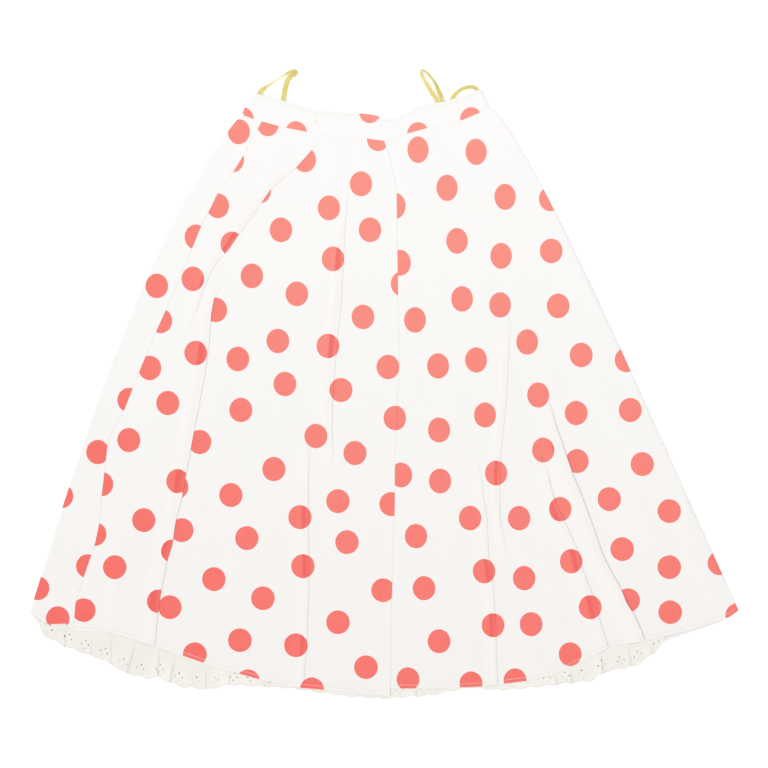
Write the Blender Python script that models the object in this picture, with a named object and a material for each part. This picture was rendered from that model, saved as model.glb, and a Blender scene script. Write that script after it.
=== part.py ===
"""A flared midi skirt in dotted cotton, laid flat on its back panel.

The frame: +X across the hem, +Y from the hem to the waist, +Z up, and the
origin under the middle of the skirt on the surface that it lies on. The
tables hold millimetres, and MM turns them into metres.
"""

import math

import bmesh
import bpy
import numpy as np

MM = 0.001

# Cloth, as walls
WALL = 1.1
SEAM_GAP = 0.3
TRIM_WALL = 1.1
BAND_WALL = 1.6
RIBBON_WALL = 0.8
RIBBON_WIDTH = 6.0

# Heights of the middle of each layer above the surface
BACK_Z = WALL / 2
TRIM_Z = WALL + SEAM_GAP + TRIM_WALL / 2
FRONT_Z = TRIM_Z + TRIM_WALL / 2 + SEAM_GAP + WALL / 2
BACK_BAND_Z = BAND_WALL / 2
RIBBON_ROOT_Z = BAND_WALL + SEAM_GAP + RIBBON_WALL / 2
FRONT_BAND_Z = RIBBON_ROOT_Z + RIBBON_WALL / 2 + SEAM_GAP + BAND_WALL / 2

# The seam that joins the panels to the waistband, from the side to the centre
WAIST_SEAM = {
    "left": (("x", "y"), (-206, 390), (-187, 383), (-151, 373), (-112, 365), (-57, 360), (0, 352)),
    "right": (("x", "y"), (0, 352), (31, 362), (67, 372), (115, 383), (141, 394), (154, 400)),
}

# The hem of the front, which dips at the centre seam and steps at the big folds
FRONT_HEM = {
    "left": (
        ("x", "y"),
        (-514, -331),
        (-488, -348),
        (-461, -347),
        (-448, -358),
        (-400, -359),
        (-336, -378),
        (-238, -412),
        (-183, -427),
        (-120, -440),
        (-30, -448),
        (13, -452),
    ),
    "right": (
        ("x", "y"),
        (13, -441),
        (81, -441),
        (144, -438),
        (207, -430),
        (244, -422),
        (306, -393),
        (328, -380),
        (383, -371),
        (444, -357),
        (500, -338),
        (514, -328),
    ),
}

# The back hem reaches lower at the sides, under the eyelet trim
BACK_HEM = {
    "left": (
        ("x", "y"),
        (-514, -331),
        (-496, -352),
        (-464, -371),
        (-405, -391),
        (-342, -417),
        (-255, -432),
        (-120, -434),
        (13, -444),
    ),
    "right": (
        ("x", "y"),
        (13, -444),
        (71, -441),
        (171, -434),
        (271, -423),
        (319, -408),
        (366, -399),
        (394, -378),
        (444, -360),
        (487, -346),
        (514, -328),
    ),
}

# How far each side bows out from the straight line between waist and hem
SIDE_BOW = {"left": (38.0, 0.7), "right": (20.0, 0.5)}

# The left side seam, rolled to the front: its place across the left panel
SIDE_SEAM = (
    ("down", "across"),
    (0.00, 0.20),
    (0.08, 0.18),
    (0.20, 0.145),
    (0.35, 0.13),
    (0.50, 0.11),
    (0.62, 0.08),
    (0.74, 0.052),
    (0.82, 0.008),
    (1.00, 0.008),
)

# Tucks: the cloth on the left lies over the cloth on the right by "overlap"
# mm, after a rise of "ramp" mm. "path" holds places down and across a panel.
LEFT_TUCKS = (
    ("name", "path", "start", "end", "overlap", "ramp"),
    ("upper", ((0, 0.36), (0.12, 0.38), (0.42, 0.235), (0.6, 0.2), (1, 0.215)), 0.09, 0.45, 3, 10),
    ("main", ((0, 0.58), (0.15, 0.55), (0.38, 0.345), (1, 0.354)), 0.36, 1.3, 7, 26),
    ("inner", ((0, 0.83), (0.1, 0.8), (0.35, 0.795), (0.66, 0.825), (1, 0.84)), 0.06, 0.68, 4, 14),
)
RIGHT_TUCKS = (
    ("name", "path", "start", "end", "overlap", "ramp"),
    ("short", ((0, 0.6), (0.5, 0.545), (0.69, 0.555), (0.85, 0.6), (1, 0.625)), 0.66, 1.3, 2.5, 8),
    ("deep", ((0, 0.74), (0.5, 0.635), (0.75, 0.66), (1, 0.72)), 0.5, 1.3, 12, 10),
)

# Ridges: low rises that fall away on the right
LEFT_RIDGES = (
    ("name", "path", "start", "end", "height", "half_width"),
    ("side", ((0, 0.27), (0.12, 0.27), (0.42, 0.165), (0.72, 0.125), (1, 0.16)), 0.6, 1.2, 2.0, 9),
    ("middle", ((0, 0.66), (0.4, 0.55), (1, 0.52)), 0.3, 1.2, 1.4, 16),
    ("lower", ((0, 0.73), (0.2, 0.69), (0.5, 0.71), (0.66, 0.74), (1, 0.77)), 0.6, 1.2, 2.0, 9),
)
RIGHT_RIDGES = (
    ("name", "path", "start", "end", "height", "half_width"),
    ("near_seam", ((0, 0.16), (1, 0.13)), 0.3, 1.2, 1.4, 14),
    ("inner", ((0, 0.3), (1, 0.295)), 0.6, 1.1, 2.0, 12),
    ("middle", ((0, 0.46), (0.6, 0.48), (0.85, 0.465), (1, 0.49)), 0.4, 1.2, 1.8, 12),
    ("outer", ((0, 0.88), (1, 0.87)), 0.58, 1.2, 1.6, 16),
)

# A tuck's three layers, its turns, and its shape where it opens out
TURN_RADIUS = 0.85
TURN_ANGLES = (30, -30)
LAYER = 2 * TURN_RADIUS
TUCK_HEIGHT = 2 * LAYER
LEAD = 2.0
OPEN_WIDTH = 8.0
LEAST_OVERLAP = 0.6
TUCK_RISE = (("back", "up"), (1.0, 0.0), (0.62, 0.22), (0.28, 0.80), (0.0, 1.0))
RIDGE_SHAPE = (("across", "up"), (-1.0, 0.0), (-0.4, 0.55), (0.0, 1.0), (0.35, 0.35), (0.8, 0.0))

# Folds fade in and out over this share of the panel, and are narrower at the
# waist, up to the place where they reach their full width
FADE = 0.16
WAIST_WIDTH = 0.5
FULL_WIDTH_DOWN = 0.4

# Angles of the points round the turned edges of the back and the front
BACK_TURN_ANGLES = (30, 65, 90, 115, 150)
FRONT_TURN_ANGLES = (30, 60, 90)

# Rows of points from waist to hem
ROWS = (0.0, 0.06, 0.13, 0.21, 0.29, 0.37, 0.45, 0.53, 0.61, 0.69, 0.77, 0.85, 0.93, 1.0)

# The waistband's top edge, from the left end to the right end
BAND_TOP = (
    ("x", "y"),
    (-195, 418),
    (-183, 420),
    (-146, 410),
    (-100, 396),
    (-20, 390),
    (0, 385),
    (18, 385),
    (46, 399),
    (60, 405),
    (91, 409),
    (115, 418),
    (139, 426),
    (144, 423),
)
BAND_BOTTOM = WAIST_SEAM["left"] + WAIST_SEAM["right"][2:]

# How near its ends the band turns down to its back
BAND_TURN = 5.0

# The band's pieces: where each one ends along the seam
BAND_PIECES = (
    ("name", "from_x", "to_x"),
    ("waistband_side_left", -206, -100),
    ("waistband_centre_left", -100, -1),
    ("waistband_centre_right", -1, 115),
    ("waistband_side_right", 115, 154),
)

# The eyelet trim's lower edge, and its scallops
TRIM_EDGE = (
    ("x", "y"),
    (-500, -351),
    (-492, -366),
    (-464, -381),
    (-405, -402),
    (-376, -419),
    (-342, -429),
    (-329, -425),
    (-294, -440),
    (-255, -444),
    (-223, -437),
    (-135, -442),
    (-60, -453),
    (0, -457),
    (71, -452),
    (120, -441),
    (171, -445),
    (223, -440),
    (302, -431),
    (319, -419),
    (365, -410),
    (394, -389),
    (408, -370),
)
TRIM_DEPTH = 62.0
TRIM_NARROWING = 0.94
TRIM_CLEAR = 1.0
TRIM_LEAST = 4.0
SCALLOP_PITCH = 20.0
SCALLOP_DEPTH = 2.4
POINTS_A_SCALLOP = 4
TRIM_WAVES = (
    ("x", "height", "half_width"),
    (-455, 2.4, 16.0),
    (-396, 2.2, 18.0),
    (-366, 3.2, 12.0),
    (-306, 3.4, 13.0),
    (-252, 2.0, 16.0),
    (268, 2.8, 14.0),
    (314, 3.2, 14.0),
    (362, 2.2, 16.0),
)

# The hanger loops: the middle of the ribbon, and its turn from lying flat
LOOP_LEFT = (
    ("x", "y", "z", "turn"),
    (-180, 404, 2.3, 0),
    (-181, 414, 2.3, 0),
    (-179, 423, 2.3, 4),
    (-169, 432, 3.4, 55),
    (-150, 445, 3.8, 75),
    (-138, 451.5, 3.6, 50),
    (-129, 453.0, 3.3, 30),
    (-129.5, 449.0, 3.2, 30),
    (-136, 444.5, 3.0, 25),
    (-141, 437, 2.6, 10),
    (-145, 419, 2.3, 0),
    (-146, 406, 2.3, 0),
    (-146, 396, 2.3, 0),
)
LOOP_RIGHT = (
    ("x", "y", "z", "turn"),
    (79, 391, 2.3, 0),
    (77.5, 402, 2.3, 0),
    (75.5, 412, 2.3, 2),
    (66, 427, 3.0, 40),
    (55, 445, 3.4, 60),
    (53, 453.0, 3.4, 62),
    (57, 455.0, 3.4, 62),
    (62.5, 451, 3.4, 60),
    (73, 438, 3.2, 45),
    (80, 423, 2.6, 20),
    (84, 412, 2.3, 2),
    (87, 393, 2.3, 0),
)
LOOP_OUTER = (
    ("x", "y", "z", "turn"),
    (95, 402, 2.3, 0),
    (97, 411, 2.3, 0),
    (104, 420.5, 2.4, 10),
    (113, 427.5, 2.6, 20),
    (124, 430.5, 2.6, 20),
    (133, 428.5, 2.4, 10),
    (136, 421, 2.3, 0),
    (133, 410, 2.3, 0),
)
LOOP_STEPS = 2

COTTON = (0.93, 0.90, 0.87, 1.0)
EYELET = (0.86, 0.84, 0.80, 1.0)
RIBBON = (0.80, 0.66, 0.16, 1.0)


def rows_of(table):
    """The rows of a table under its line of column names, as an array."""
    return np.array(table[1:], float)


def named(table):
    """The rows of a table as dictionaries, by its line of column names."""
    return [dict(zip(table[0], row)) for row in table[1:]]


def along(table, share):
    """The point that lies at this share of a table's reach in x."""
    points = rows_of(table)
    x = points[0, 0] + share * (points[-1, 0] - points[0, 0])
    return x, np.interp(x, points[:, 0], points[:, 1])


def on_panel(side, across, down, hem=FRONT_HEM):
    """A place on the left or right panel: across from its left edge to its
    right edge, and down from the waist seam to the hem."""
    top = along(WAIST_SEAM[side], across)
    foot = along(hem[side], across)
    bow, power = SIDE_BOW[side]
    reach = bow * math.sin(math.pi * down**power)
    reach *= across - 1 if side == "left" else across
    return top[0] + down * (foot[0] - top[0]) + reach, top[1] + down * (foot[1] - top[1])


def with_breaks(values, breaks):
    """Evenly spaced values with the corners of a seam put in among them."""
    inside = [b for b in breaks if values.min() < b < values.max()]
    near = [v for v in values[1:-1] if not any(abs(v - b) < 0.3 * (values[1] - values[0]) for b in inside)]
    return np.array(sorted([values[0], values[-1], *near, *inside]))


def seam_corners(side):
    """Where the waist seam bends, as shares of the way across a panel."""
    x = rows_of(WAIST_SEAM[side])[:, 0]
    return (x[1:-1] - x[0]) / (x[-1] - x[0])


def ramped(value, start, end):
    """0 before start, 1 after end, and smooth between them."""
    t = min(1.0, max(0.0, (value - start) / (end - start)))
    return t * t * (3 - 2 * t)


def strength(fold, down):
    """How much of a fold is there at this place down the panel."""
    rise = ramped(down, fold["start"], fold["start"] + FADE)
    return rise * (1 - ramped(down, fold["end"] - FADE, fold["end"]))


def width_at(down):
    """How wide a fold is at this place down the panel, as a share."""
    return WAIST_WIDTH + (1 - WAIST_WIDTH) * min(1.0, down / FULL_WIDTH_DOWN)


def tuck_path(fold, down):
    """The cloth through a tuck, as steps across and up from its crest."""
    share = strength(fold, down)
    height = TUCK_HEIGHT * min(1.0, 3 * share)
    closed = min(1.0, max(0.0, 3 * share - 1))
    overlap = LEAST_OVERLAP + fold["overlap"] * max(0.0, 3 * share - 2)
    ramp = fold["ramp"] * width_at(down)
    path = [(-overlap - LEAD - ramp * back, height * up) for back, up in TUCK_RISE[1:]]
    crest = [(0.0, TUCK_HEIGHT)]
    for angle in TURN_ANGLES:
        a = math.radians(angle)
        crest.append((TURN_RADIUS * math.cos(a), TUCK_HEIGHT - TURN_RADIUS * (1 - math.sin(a))))
    crest.append((0.0, LAYER))
    under = [(-overlap, LAYER)]
    for angle in TURN_ANGLES:
        a = math.radians(angle)
        under.append((-overlap - TURN_RADIUS * math.cos(a), TURN_RADIUS * (1 + math.sin(a))))
    under.append((-overlap, 0.0))
    folded = crest + under
    for i, (x, z) in enumerate(folded):
        t = i / (len(folded) - 1)
        open_x = OPEN_WIDTH * width_at(down) * t
        open_z = height * 0.5 * (1 + math.cos(math.pi * t))
        path.append((open_x + closed * (x - open_x), open_z + closed * (z - open_z)))
    return path


def ridge_path(fold, down):
    """The cloth over a ridge, as steps across and up from its crest."""
    wide = fold["half_width"] * width_at(down)
    high = fold["height"] * strength(fold, down)
    return [(across * wide, up * high) for across, up in RIDGE_SHAPE[1:]]


def across_at(fold, down):
    path = np.array(fold["path"])
    return float(np.interp(down, path[:, 0], path[:, 1]))


def front_section(side, down, tucks, ridges, first, last):
    """The middle of the front cloth along one row, with its folds."""
    folds = [(across_at(f, down), tuck_path(f, down), f) for f in named(tucks)]
    folds += [(across_at(f, down), ridge_path(f, down), f) for f in named(ridges)]
    folds.sort(key=lambda fold: fold[0])
    width = on_panel(side, 1.0, down)[0] - on_panel(side, 0.0, down)[0]
    section = [(*on_panel(side, first, down), FRONT_Z)]
    reached = first
    for place, path, _ in folds:
        begins = place + path[0][0] / width
        middle = 0.5 * (reached + begins)
        section.append((*on_panel(side, middle, down), FRONT_Z))
        for step, rise in path:
            section.append((*on_panel(side, place + step / width, down), FRONT_Z + rise))
        reached = place + path[-1][0] / width
    for t in (0.5, 1.0):
        section.append((*on_panel(side, reached + t * (last - reached), down), FRONT_Z))
    return section


def offset_section(section, thickness):
    """The two faces of a wall whose middle follows a section in x and z."""
    p = np.array(section, float)
    step = np.diff(p[:, [0, 2]], axis=0)
    step /= np.linalg.norm(step, axis=1)[:, None]
    normal = np.stack([-step[:, 1], step[:, 0]], axis=1)
    joint = np.vstack([normal[:1], normal[:-1] + normal[1:], normal[-1:]])
    joint /= np.linalg.norm(joint, axis=1)[:, None]
    before = np.vstack([normal[:1], normal])
    cosine = np.clip((joint * before).sum(1), 0.75, 1.0)
    move = joint * (0.5 * thickness / cosine)[:, None]
    upper, lower = p.copy(), p.copy()
    upper[:, [0, 2]] += move
    lower[:, [0, 2]] -= move
    return upper, lower


def material(name, colour, roughness):
    made = bpy.data.materials.new(name)
    made.use_nodes = True
    shader = made.node_tree.nodes["Principled BSDF"]
    shader.inputs["Base Color"].default_value = colour
    shader.inputs["Roughness"].default_value = roughness
    shader.inputs["Metallic"].default_value = 0.0
    return made


def wall_object(name, uppers, lowers, cloth):
    """One closed wall between two grids of points in mm."""
    mesh = bpy.data.meshes.new(name)
    bm = bmesh.new()
    grids = []
    for side in (uppers, lowers):
        grids.append([[bm.verts.new(tuple(MM * c for c in p)) for p in row] for row in side])
    rows, columns = len(uppers), len(uppers[0])
    for grid in grids:
        for i in range(rows - 1):
            for j in range(columns - 1):
                bm.faces.new((grid[i][j], grid[i][j + 1], grid[i + 1][j + 1], grid[i + 1][j]))
    up, down = grids
    for i in (0, rows - 1):
        for j in range(columns - 1):
            bm.faces.new((up[i][j], up[i][j + 1], down[i][j + 1], down[i][j]))
    for j in (0, columns - 1):
        for i in range(rows - 1):
            bm.faces.new((up[i][j], up[i + 1][j], down[i + 1][j], down[i][j]))
    bmesh.ops.recalc_face_normals(bm, faces=bm.faces)
    bm.to_mesh(mesh)
    bm.free()
    mesh.materials.append(cloth)
    made = bpy.data.objects.new(name, mesh)
    bpy.context.scene.collection.objects.link(made)
    return made


def wall_from_sections(name, sections, thickness, cloth):
    walls = [offset_section(section, thickness) for section in sections]
    return wall_object(name, [w[0] for w in walls], [w[1] for w in walls], cloth)


def down_rows():
    """The rows of a panel, with the first one clear of the waist seam."""
    return [max(row, SEAM_GAP / 700) for row in ROWS]


def front_left_panel(cloth):
    seam = rows_of(SIDE_SEAM)
    sections = []
    for down in down_rows():
        width = on_panel("left", 1.0, down)[0] - on_panel("left", 0.0, down)[0]
        first = float(np.interp(down, seam[:, 0], seam[:, 1])) + SEAM_GAP / 2 / width
        last = 1.0 - SEAM_GAP / 2 / width
        sections.append(front_section("left", down, LEFT_TUCKS, LEFT_RIDGES, first, last))
    return wall_from_sections("front_left_panel", sections, WALL, cloth)


def front_right_panel(cloth):
    """The right front panel, which turns down to the back at its side seam."""
    turn = FRONT_Z - WALL - SEAM_GAP
    sections = []
    for down in down_rows():
        width = on_panel("right", 1.0, down)[0] - on_panel("right", 0.0, down)[0]
        first = SEAM_GAP / 2 / width
        last = 1.0 - (turn + WALL / 2) / width
        section = front_section("right", down, RIGHT_TUCKS, RIGHT_RIDGES, first, last)
        edge_x, edge_y = on_panel("right", 1.0, down)
        for angle in FRONT_TURN_ANGLES:
            a = math.radians(angle)
            x = edge_x - WALL / 2 - turn * (1 - math.sin(a))
            section.append((x, edge_y, FRONT_Z - turn * (1 - math.cos(a))))
        sections.append(section)
    return wall_from_sections("front_right_panel", sections, WALL, cloth)


def back_panel(cloth):
    """The back, flat on the surface, and its roll over the left edge."""
    seam = rows_of(SIDE_SEAM)
    turn = (FRONT_Z - BACK_Z) / 2
    sections = []
    for down in down_rows():
        width = on_panel("left", 1.0, down)[0] - on_panel("left", 0.0, down)[0]
        inset = (turn + WALL / 2) / width
        reach = max(float(np.interp(down, seam[:, 0], seam[:, 1])) - SEAM_GAP / 2 / width, inset)
        section = []
        for across in with_breaks(np.linspace(0.0, 1.0, 9), seam_corners("right"))[:0:-1]:
            section.append((*on_panel("right", across, down, BACK_HEM), BACK_Z))
        for across in with_breaks(np.linspace(inset, 1.0, 11), seam_corners("left"))[::-1]:
            section.append((*on_panel("left", across, down, BACK_HEM), BACK_Z))
        edge_x, edge_y = on_panel("left", inset, down, BACK_HEM)
        for angle in BACK_TURN_ANGLES:
            a = math.radians(angle)
            section.append((edge_x - turn * math.sin(a), edge_y, BACK_Z + turn * (1 - math.cos(a))))
        for across in (inset, 0.5 * (inset + reach) + 1e-4, reach + 2e-4):
            section.append((*on_panel("left", across, down), FRONT_Z))
        sections.append(section)
    return wall_from_sections("back_panel", sections, WALL, cloth)


def band_point(x_at_seam, up):
    """A place on the waistband: x along its lower seam, and up its height."""
    bottom, top = rows_of(BAND_BOTTOM), rows_of(BAND_TOP)
    share = (x_at_seam - bottom[0, 0]) / (bottom[-1, 0] - bottom[0, 0])
    top_x = top[0, 0] + share * (top[-1, 0] - top[0, 0])
    low_y = np.interp(x_at_seam, bottom[:, 0], bottom[:, 1]) + SEAM_GAP
    top_y = np.interp(top_x, top[:, 0], top[:, 1])
    return x_at_seam + up * (top_x - x_at_seam), low_y + up * (top_y - low_y)


def waistband(cloth):
    """The four front pieces, of which the side ones turn down to the back."""
    drop = FRONT_BAND_Z - BACK_BAND_Z - BAND_WALL - SEAM_GAP
    seam_x = rows_of(BAND_BOTTOM)[:, 0]
    seam_x = [*seam_x, seam_x[0] + BAND_TURN, seam_x[-1] - BAND_TURN]
    made = []
    for piece in named(BAND_PIECES):
        start, end = piece["from_x"] + SEAM_GAP / 2, piece["to_x"] - SEAM_GAP / 2
        sections = []
        for up in (1.0, 0.5, 0.0):
            section = []
            for x in with_breaks(np.linspace(start, end, max(4, round((end - start) / 18))), seam_x):
                section.append([*band_point(x, up), FRONT_BAND_Z])
            if piece["name"].endswith("side_left"):
                section[0][2] -= drop
            if piece["name"].endswith("side_right"):
                section[-1][2] -= drop
            sections.append(section)
        made.append(wall_from_sections(piece["name"], sections, BAND_WALL, cloth))
    return made


def waistband_back(cloth):
    """The back of the band, a little lower than the front where it dips."""
    start, end = BAND_PIECES[1][1], BAND_PIECES[-1][2]
    sections = []
    for up in (0.93, 0.0):
        places = with_breaks(np.linspace(start, end, 20), rows_of(BAND_BOTTOM)[:, 0])
        sections.append([(*band_point(x, up), BACK_BAND_Z) for x in places])
    return wall_from_sections("waistband_back", sections, BAND_WALL, cloth)


def eyelet_trim(cloth):
    """The scalloped strip on the hem of the underskirt, with its waves."""
    edge = rows_of(TRIM_EDGE)
    length = edge[-1, 0] - edge[0, 0]
    scallops = round(length / SCALLOP_PITCH)
    rows = [[], [], []]
    hem = np.vstack([rows_of(FRONT_HEM["left"]), rows_of(FRONT_HEM["right"])])
    for k in range(scallops * POINTS_A_SCALLOP + 1):
        share = k / (scallops * POINTS_A_SCALLOP)
        x = edge[0, 0] + share * length
        y = np.interp(x, edge[:, 0], edge[:, 1])
        bulge = SCALLOP_DEPTH * (abs(math.sin(math.pi * share * scallops)) - 1)
        wave = 0.0
        for w in named(TRIM_WAVES):
            wave += w["height"] * math.exp(-(((x - w["x"]) / w["half_width"]) ** 2))
        edge_y = y - bulge
        hem_y = max(np.interp(x, hem[:, 0], hem[:, 1]) - TRIM_CLEAR, edge_y + TRIM_LEAST)
        rows[0].append((x * TRIM_NARROWING, max(y + TRIM_DEPTH, hem_y + TRIM_LEAST), TRIM_Z))
        rows[1].append((x, hem_y, TRIM_Z))
        rows[2].append((x, edge_y, TRIM_Z + wave))
    return wall_from_sections("eyelet_trim", rows, TRIM_WALL, cloth)


def smooth_route(table, steps):
    """Points on a smooth curve through the route's own points."""
    p = rows_of(table)
    ends = np.vstack([2 * p[0] - p[1], p, 2 * p[-1] - p[-2]])
    route = []
    for i in range(1, len(ends) - 2):
        a, b, c, d = ends[i - 1 : i + 3]
        for t in np.arange(steps) / steps:
            bend = (2 * a - 5 * b + 4 * c - d) * t**2 + (3 * b - a - 3 * c + d) * t**3
            route.append(0.5 * (2 * b + (c - a) * t + bend))
    route.append(p[-1])
    return np.array(route)


def hanger_loop(name, table, cloth):
    """A loop of narrow ribbon: a thin strip swept along its route."""
    route = smooth_route(table, LOOP_STEPS)
    mesh = bpy.data.meshes.new(name)
    bm = bmesh.new()
    rings = []
    for i, (x, y, z, turn) in enumerate(route):
        ahead = route[min(i + 1, len(route) - 1), :3] - route[max(i - 1, 0), :3]
        heading = ahead[:2] / np.linalg.norm(ahead[:2])
        across = np.array([heading[1], -heading[0], 0.0])
        a = math.radians(turn)
        wide = across * math.cos(a) + np.array([0, 0, math.sin(a)])
        thick = -across * math.sin(a) + np.array([0, 0, math.cos(a)])
        middle = np.array([x, y, z])
        ring = []
        for s, t in ((-1, -1), (1, -1), (1, 1), (-1, 1)):
            corner = middle + 0.5 * (s * RIBBON_WIDTH * wide + t * RIBBON_WALL * thick)
            ring.append(bm.verts.new(tuple(MM * corner)))
        rings.append(ring)
    for near, far in zip(rings, rings[1:]):
        for k in range(4):
            bm.faces.new((near[k], near[(k + 1) % 4], far[(k + 1) % 4], far[k]))
    bm.faces.new(rings[0])
    bm.faces.new(rings[-1])
    bmesh.ops.recalc_face_normals(bm, faces=bm.faces)
    bm.to_mesh(mesh)
    bm.free()
    mesh.materials.append(cloth)
    made = bpy.data.objects.new(name, mesh)
    bpy.context.scene.collection.objects.link(made)
    return made


def main():
    for old in list(bpy.data.objects):
        bpy.data.objects.remove(old)
    cotton = material("dotted_cotton", COTTON, 0.85)
    eyelet = material("eyelet_cotton", EYELET, 0.85)
    ribbon = material("yellow_ribbon", RIBBON, 0.45)
    back_panel(cotton)
    front_left_panel(cotton)
    front_right_panel(cotton)
    waistband(cotton)
    waistband_back(cotton)
    eyelet_trim(eyelet)
    hanger_loop("hanger_loop_left", LOOP_LEFT, ribbon)
    hanger_loop("hanger_loop_right", LOOP_RIGHT, ribbon)
    hanger_loop("hanger_loop_right_outer", LOOP_OUTER, ribbon)


main()
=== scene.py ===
import math

import bpy
import numpy as np
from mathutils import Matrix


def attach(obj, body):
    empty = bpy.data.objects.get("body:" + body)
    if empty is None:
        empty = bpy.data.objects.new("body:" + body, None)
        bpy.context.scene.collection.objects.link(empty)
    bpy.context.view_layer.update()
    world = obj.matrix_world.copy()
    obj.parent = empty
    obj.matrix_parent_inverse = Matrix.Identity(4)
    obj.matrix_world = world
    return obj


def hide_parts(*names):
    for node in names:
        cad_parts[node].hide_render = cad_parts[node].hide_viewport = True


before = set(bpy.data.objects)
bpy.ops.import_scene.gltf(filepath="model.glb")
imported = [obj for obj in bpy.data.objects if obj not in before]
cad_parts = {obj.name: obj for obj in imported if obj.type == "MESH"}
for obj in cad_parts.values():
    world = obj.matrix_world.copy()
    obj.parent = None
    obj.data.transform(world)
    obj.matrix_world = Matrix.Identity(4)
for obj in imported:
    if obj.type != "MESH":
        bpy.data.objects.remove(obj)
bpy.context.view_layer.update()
scene = bpy.context.scene
mm = 0.001


# Tables hold mm, and their first row names the columns

def rowsOf(table):
    return np.array(table[1:], float)


def named(table):
    return [dict(zip(table[0], row)) for row in table[1:]]


def valueAt(table, x):
    rows = rowsOf(table)
    return np.interp(x, rows[:, 0], rows[:, 1])


def onEdge(table, share):
    # A place on an edge, from the share of the way across it
    rows = rowsOf(table)
    x = rows[0, 0] + share * (rows[-1, 0] - rows[0, 0])
    return x, valueAt(table, x)


def smoothStep(value, start, end):
    t = np.clip((np.asarray(value, float) - start) / (end - start), 0.0, 1.0)
    return t * t * (3 - 2 * t)


def fadeOut(value, start, end):
    return 1 - smoothStep(value, start, end)


def dip(size, distance):
    depth, width = size
    return -depth * np.exp(-((distance / width) ** 2))


# The skirt as it lies. The outlines are those of the solids, and the seams
# and folds were set again here.

skirt = {
    "waistLeft": (("x", "y"), (-206, 390), (-187, 383), (-151, 373), (-112, 365), (-57, 360), (0, 352)),
    "waistRight": (("x", "y"), (0, 352), (31, 362), (67, 372), (115, 383), (141, 394), (154, 400)),
    "hemLeft": (
        ("x", "y"), (-514, -331), (-488, -348), (-461, -347), (-448, -358), (-400, -359), (-336, -378),
        (-238, -412), (-183, -427), (-120, -440), (-30, -448), (13, -452),
    ),
    "hemRight": (
        ("x", "y"), (13, -441), (81, -441), (144, -438), (207, -430), (244, -422), (306, -393),
        (328, -380), (383, -371), (444, -357), (500, -338), (514, -328),
    ),
    "backHemLeft": (
        ("x", "y"), (-514, -331), (-496, -352), (-464, -371), (-405, -391), (-342, -417), (-255, -432),
        (-120, -434), (13, -444),
    ),
    "backHemRight": (
        ("x", "y"), (13, -444), (71, -441), (171, -434), (271, -423), (319, -408), (366, -399),
        (394, -378), (444, -360), (487, -346), (514, -328),
    ),
    "bowLeft": (38.0, 0.7),
    "bowRight": (20.0, 0.5),
    # The left side seam, rolled to the front, and how far the centre seam bows to the right
    "sideSeam": (
        ("x", "y"), (-178, 378), (-203, 332), (-219, 306), (-241, 276), (-255, 247), (-265, 228),
        (-278, 196), (-299, 144), (-316, 106), (-329, 77), (-351, 26), (-364, -6), (-377, -39), (-400, -81),
        (-405, -128), (-409, -162), (-411, -197), (-419, -235), (-435, -281), (-447, -320), (-450, -360),
    ),
    "centreBow": (
        ("y", "right"), (-444, -4), (-386, -2), (-299, 1), (-175, 7), (-125, 8), (-49, 12), (23, 16.5),
        (128, 16.5), (239, 17), (281, 17), (325, 9), (352, 0),
    ),
    "waistHalf": 180,
    "flare": 330,
    "bowReach": 90,
    "length": 790.0,
    "thickness": 0.5,
    "backZ": 0.3,
    "frontZ": 3.35,
    "seamGap": 0.3,
    "lapWidth": 10.0,
    "lapUp": 0.3,
    "lapDown": 0.28,
    "lapOver": ((1.0, 0.0), (2.0, 0.0), (2.25, -0.08), (2.4, -0.22)),
    # The hem's turned band, its fall and its edge: a lift, fading between two heights
    "hemLifts": ((0.2, 8.0, 10.5), (-1.0, 0.0, 45.0), (-0.3, 0.0, 2.0)),
    "hemStitchUp": 5.0,
    "hemStitchDip": (0.25, 1.2),
}
wholeWaist = skirt["waistLeft"] + skirt["waistRight"][2:]
wholeHem = skirt["hemLeft"] + skirt["hemRight"][1:]

folds = {
    "lead": 2.0,
    "openWidth": 5.0,
    "leastOverlap": 0.6,
    "fade": 0.14,
    "waistWidth": 0.5,
    "fullWidthDown": 0.4,
    "leastWidth": 0.3,
    "columnStep": 3.4,
    "leastColumns": 3,
    "orderDown": 0.8,
    "search": (-0.05, 1.05, 221),
    "runOut": 4,
    "rampSteps": 10,
    "turnSteps": 7,
    "layerPoints": (0.33, 0.67),
    # The painted shade along each tuck: its soft edge and where it ends, in mm
    "tuckShadeSoft": 1.5,
    "tuckShadeEnd": (0.8, 2.0),
}

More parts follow.
